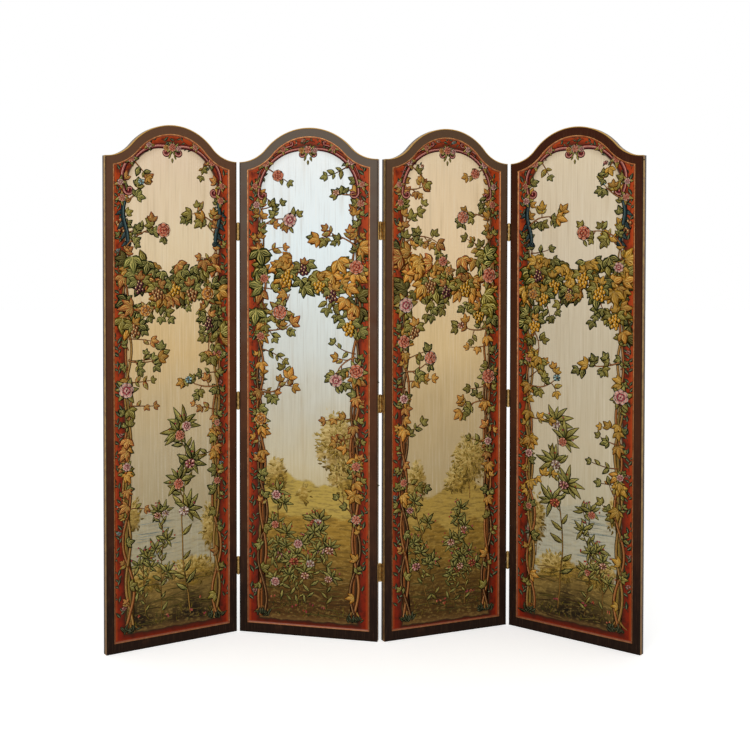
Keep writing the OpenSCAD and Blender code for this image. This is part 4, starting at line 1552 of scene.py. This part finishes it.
# Swag of foliage, fruit and flowers across each panel, fuller to both sides
swag = {
    "seed": 71,
    "half": 196,
    "groups": [100, 48, 84, 110],
    "leaf": [41.0, 46.0, 46.0, 41.0],
    "light": [1.0, 1.14, 1.22, 1.0],
    "middle": [1285, 1305, 1300, 1290],
    # clusters of fruit: x, z, colour, number
    "fruits": [
        [(128, 1262, "fruitPlum", 8), (196, 1236, "fruitRust", 10), (262, 1250, "fruitGold", 9),
         (330, 1234, "fruitRust", 11), (112, 1110, "fruitRust", 8), (398, 1130, "fruitPlum", 8)],
        [(176, 1290, "fruitGold", 12), (296, 1262, "fruitGold", 10), (344, 1226, "fruitPlum", 8),
         (402, 1110, "fruitGold", 12), (236, 1318, "fruitPlum", 7)],
        [(186, 1262, "fruitRust", 11), (250, 1240, "fruitPlum", 9), (330, 1250, "fruitGold", 12),
         (388, 1150, "fruitGold", 10), (120, 1096, "fruitRust", 9)],
        [(112, 1300, "fruitPlum", 8), (176, 1262, "fruitGold", 11), (286, 1284, "fruitGold", 12),
         (350, 1236, "fruitGold", 13), (404, 1140, "fruitGold", 12), (98, 1112, "fruitGold", 10),
         (236, 1234, "fruitPlum", 8), (132, 1216, "fruitGold", 9)],
    ],
    # share of autumn leaves, and roses as x, z, radius, colours
    "autumn": [0.5, 0.64, 0.92, 0.52],
    "roses": [
        [(150, 1180, 22, 3), (392, 1236, 26, 3)],
        [(430, 1330, 26, 0), (150, 1168, 27, 1), (92, 1290, 16, 0)],
        [(432, 1300, 29, 0), (86, 1195, 28, 2), (236, 1352, 18, 0), (262, 1318, 16, 3)],
        [(92, 1232, 18, 3), (420, 1330, 18, 2), (232, 1225, 14, 3)],
    ],
}


def paintSwag(brush, panel):
    rng = brush.rng
    wide = screen["panelWide"]
    level = swag["middle"][panel]

    def spot():
        across = rng.uniform(-1, 1)
        side = abs(across)
        low = -68 - 150 * max(0.0, side - 0.62) / 0.38
        high = 62 + 45 * side ** 2
        return wide / 2 + across * swag["half"], level + rng.uniform(low, high), across

    for _ in range(9):
        x, z, across = spot()
        spray(brush, x, level - 50 - 60 * abs(across), rng.uniform(-120, -60),
              rng.uniform(40, 90), greens[panel], leafLong=36, grouped=0.7)
    groups = swag["groups"][panel]
    for k in range(groups):
        x, z, across = spot()
        patch = math.sin(x / 31 + 2 * panel) + math.sin(z / 23 + x / 60 + panel)
        if k > 0.25 * groups and patch + rng.uniform(-1.2, 1.2) > 1 - 2 * swag["autumn"][panel]:
            paint = rng.choice(autumn[panel])
        else:
            paint = rng.choice(greens[panel])
        leafGroup(brush, paint, x, z, -90 + 55 * across + rng.uniform(-75, 75),
                  swag["leaf"][panel] * rng.uniform(0.74, 1.2) * (1 + 0.3 * abs(across)),
                  rng.choice((3, 3, 5)),
                  swag["light"][panel] * (0.5 if k < 0.22 * groups else 1))
    for x, z, fruit, count in swag["fruits"][panel]:
        for turn in (-1, 1):
            leafGroup(brush, rng.choice(greens[panel]), x + 12 * turn, z + 24,
                      -90 + 60 * turn + rng.uniform(-20, 20), rng.uniform(34, 44))
        bunch(brush, x, z, fruit, count)
        leafGroup(brush, rng.choice(autumn[panel]), x + rng.uniform(-8, 8), z + 2 * count + 10,
                  90 + rng.uniform(-60, 60), rng.uniform(26, 34))
    for rosePlan in swag["roses"][panel]:
        leafyRose(brush, *rosePlan, greens[panel] + autumn[panel], 2.0, 0.5)


for panel in range(4):
    coats, painted = {}, []
    for name, settings, paint in (
            ("garden", garden, paintGarden), ("margin_sprigs", margin, paintMargin),
            ("side_stems", stems, paintStems), ("arch_scrollwork", scrolls, paintScrollwork),
            ("loose_sprays", sprays, paintSprays), ("foliage_swag", swag, paintSwag)):
        brush = Brush(settings["seed"] + panel)
        paint(brush, panel)
        under = [countCoats(coats, points, widths, shared)
                 for _, points, widths, _, shared in brush.strokes]
        painted.append((name, brush.strokes, under))
    coat = paintRelief["thickest"] / max(coats.values())
    for name, strokes, under in painted:
        piece = layPaint("%s_%d" % (name, panel + 1), panel, strokes, under, coat)
        print("panel", panel + 1, piece.name, "polygons", len(piece.data.polygons),
              "coats", max(under))
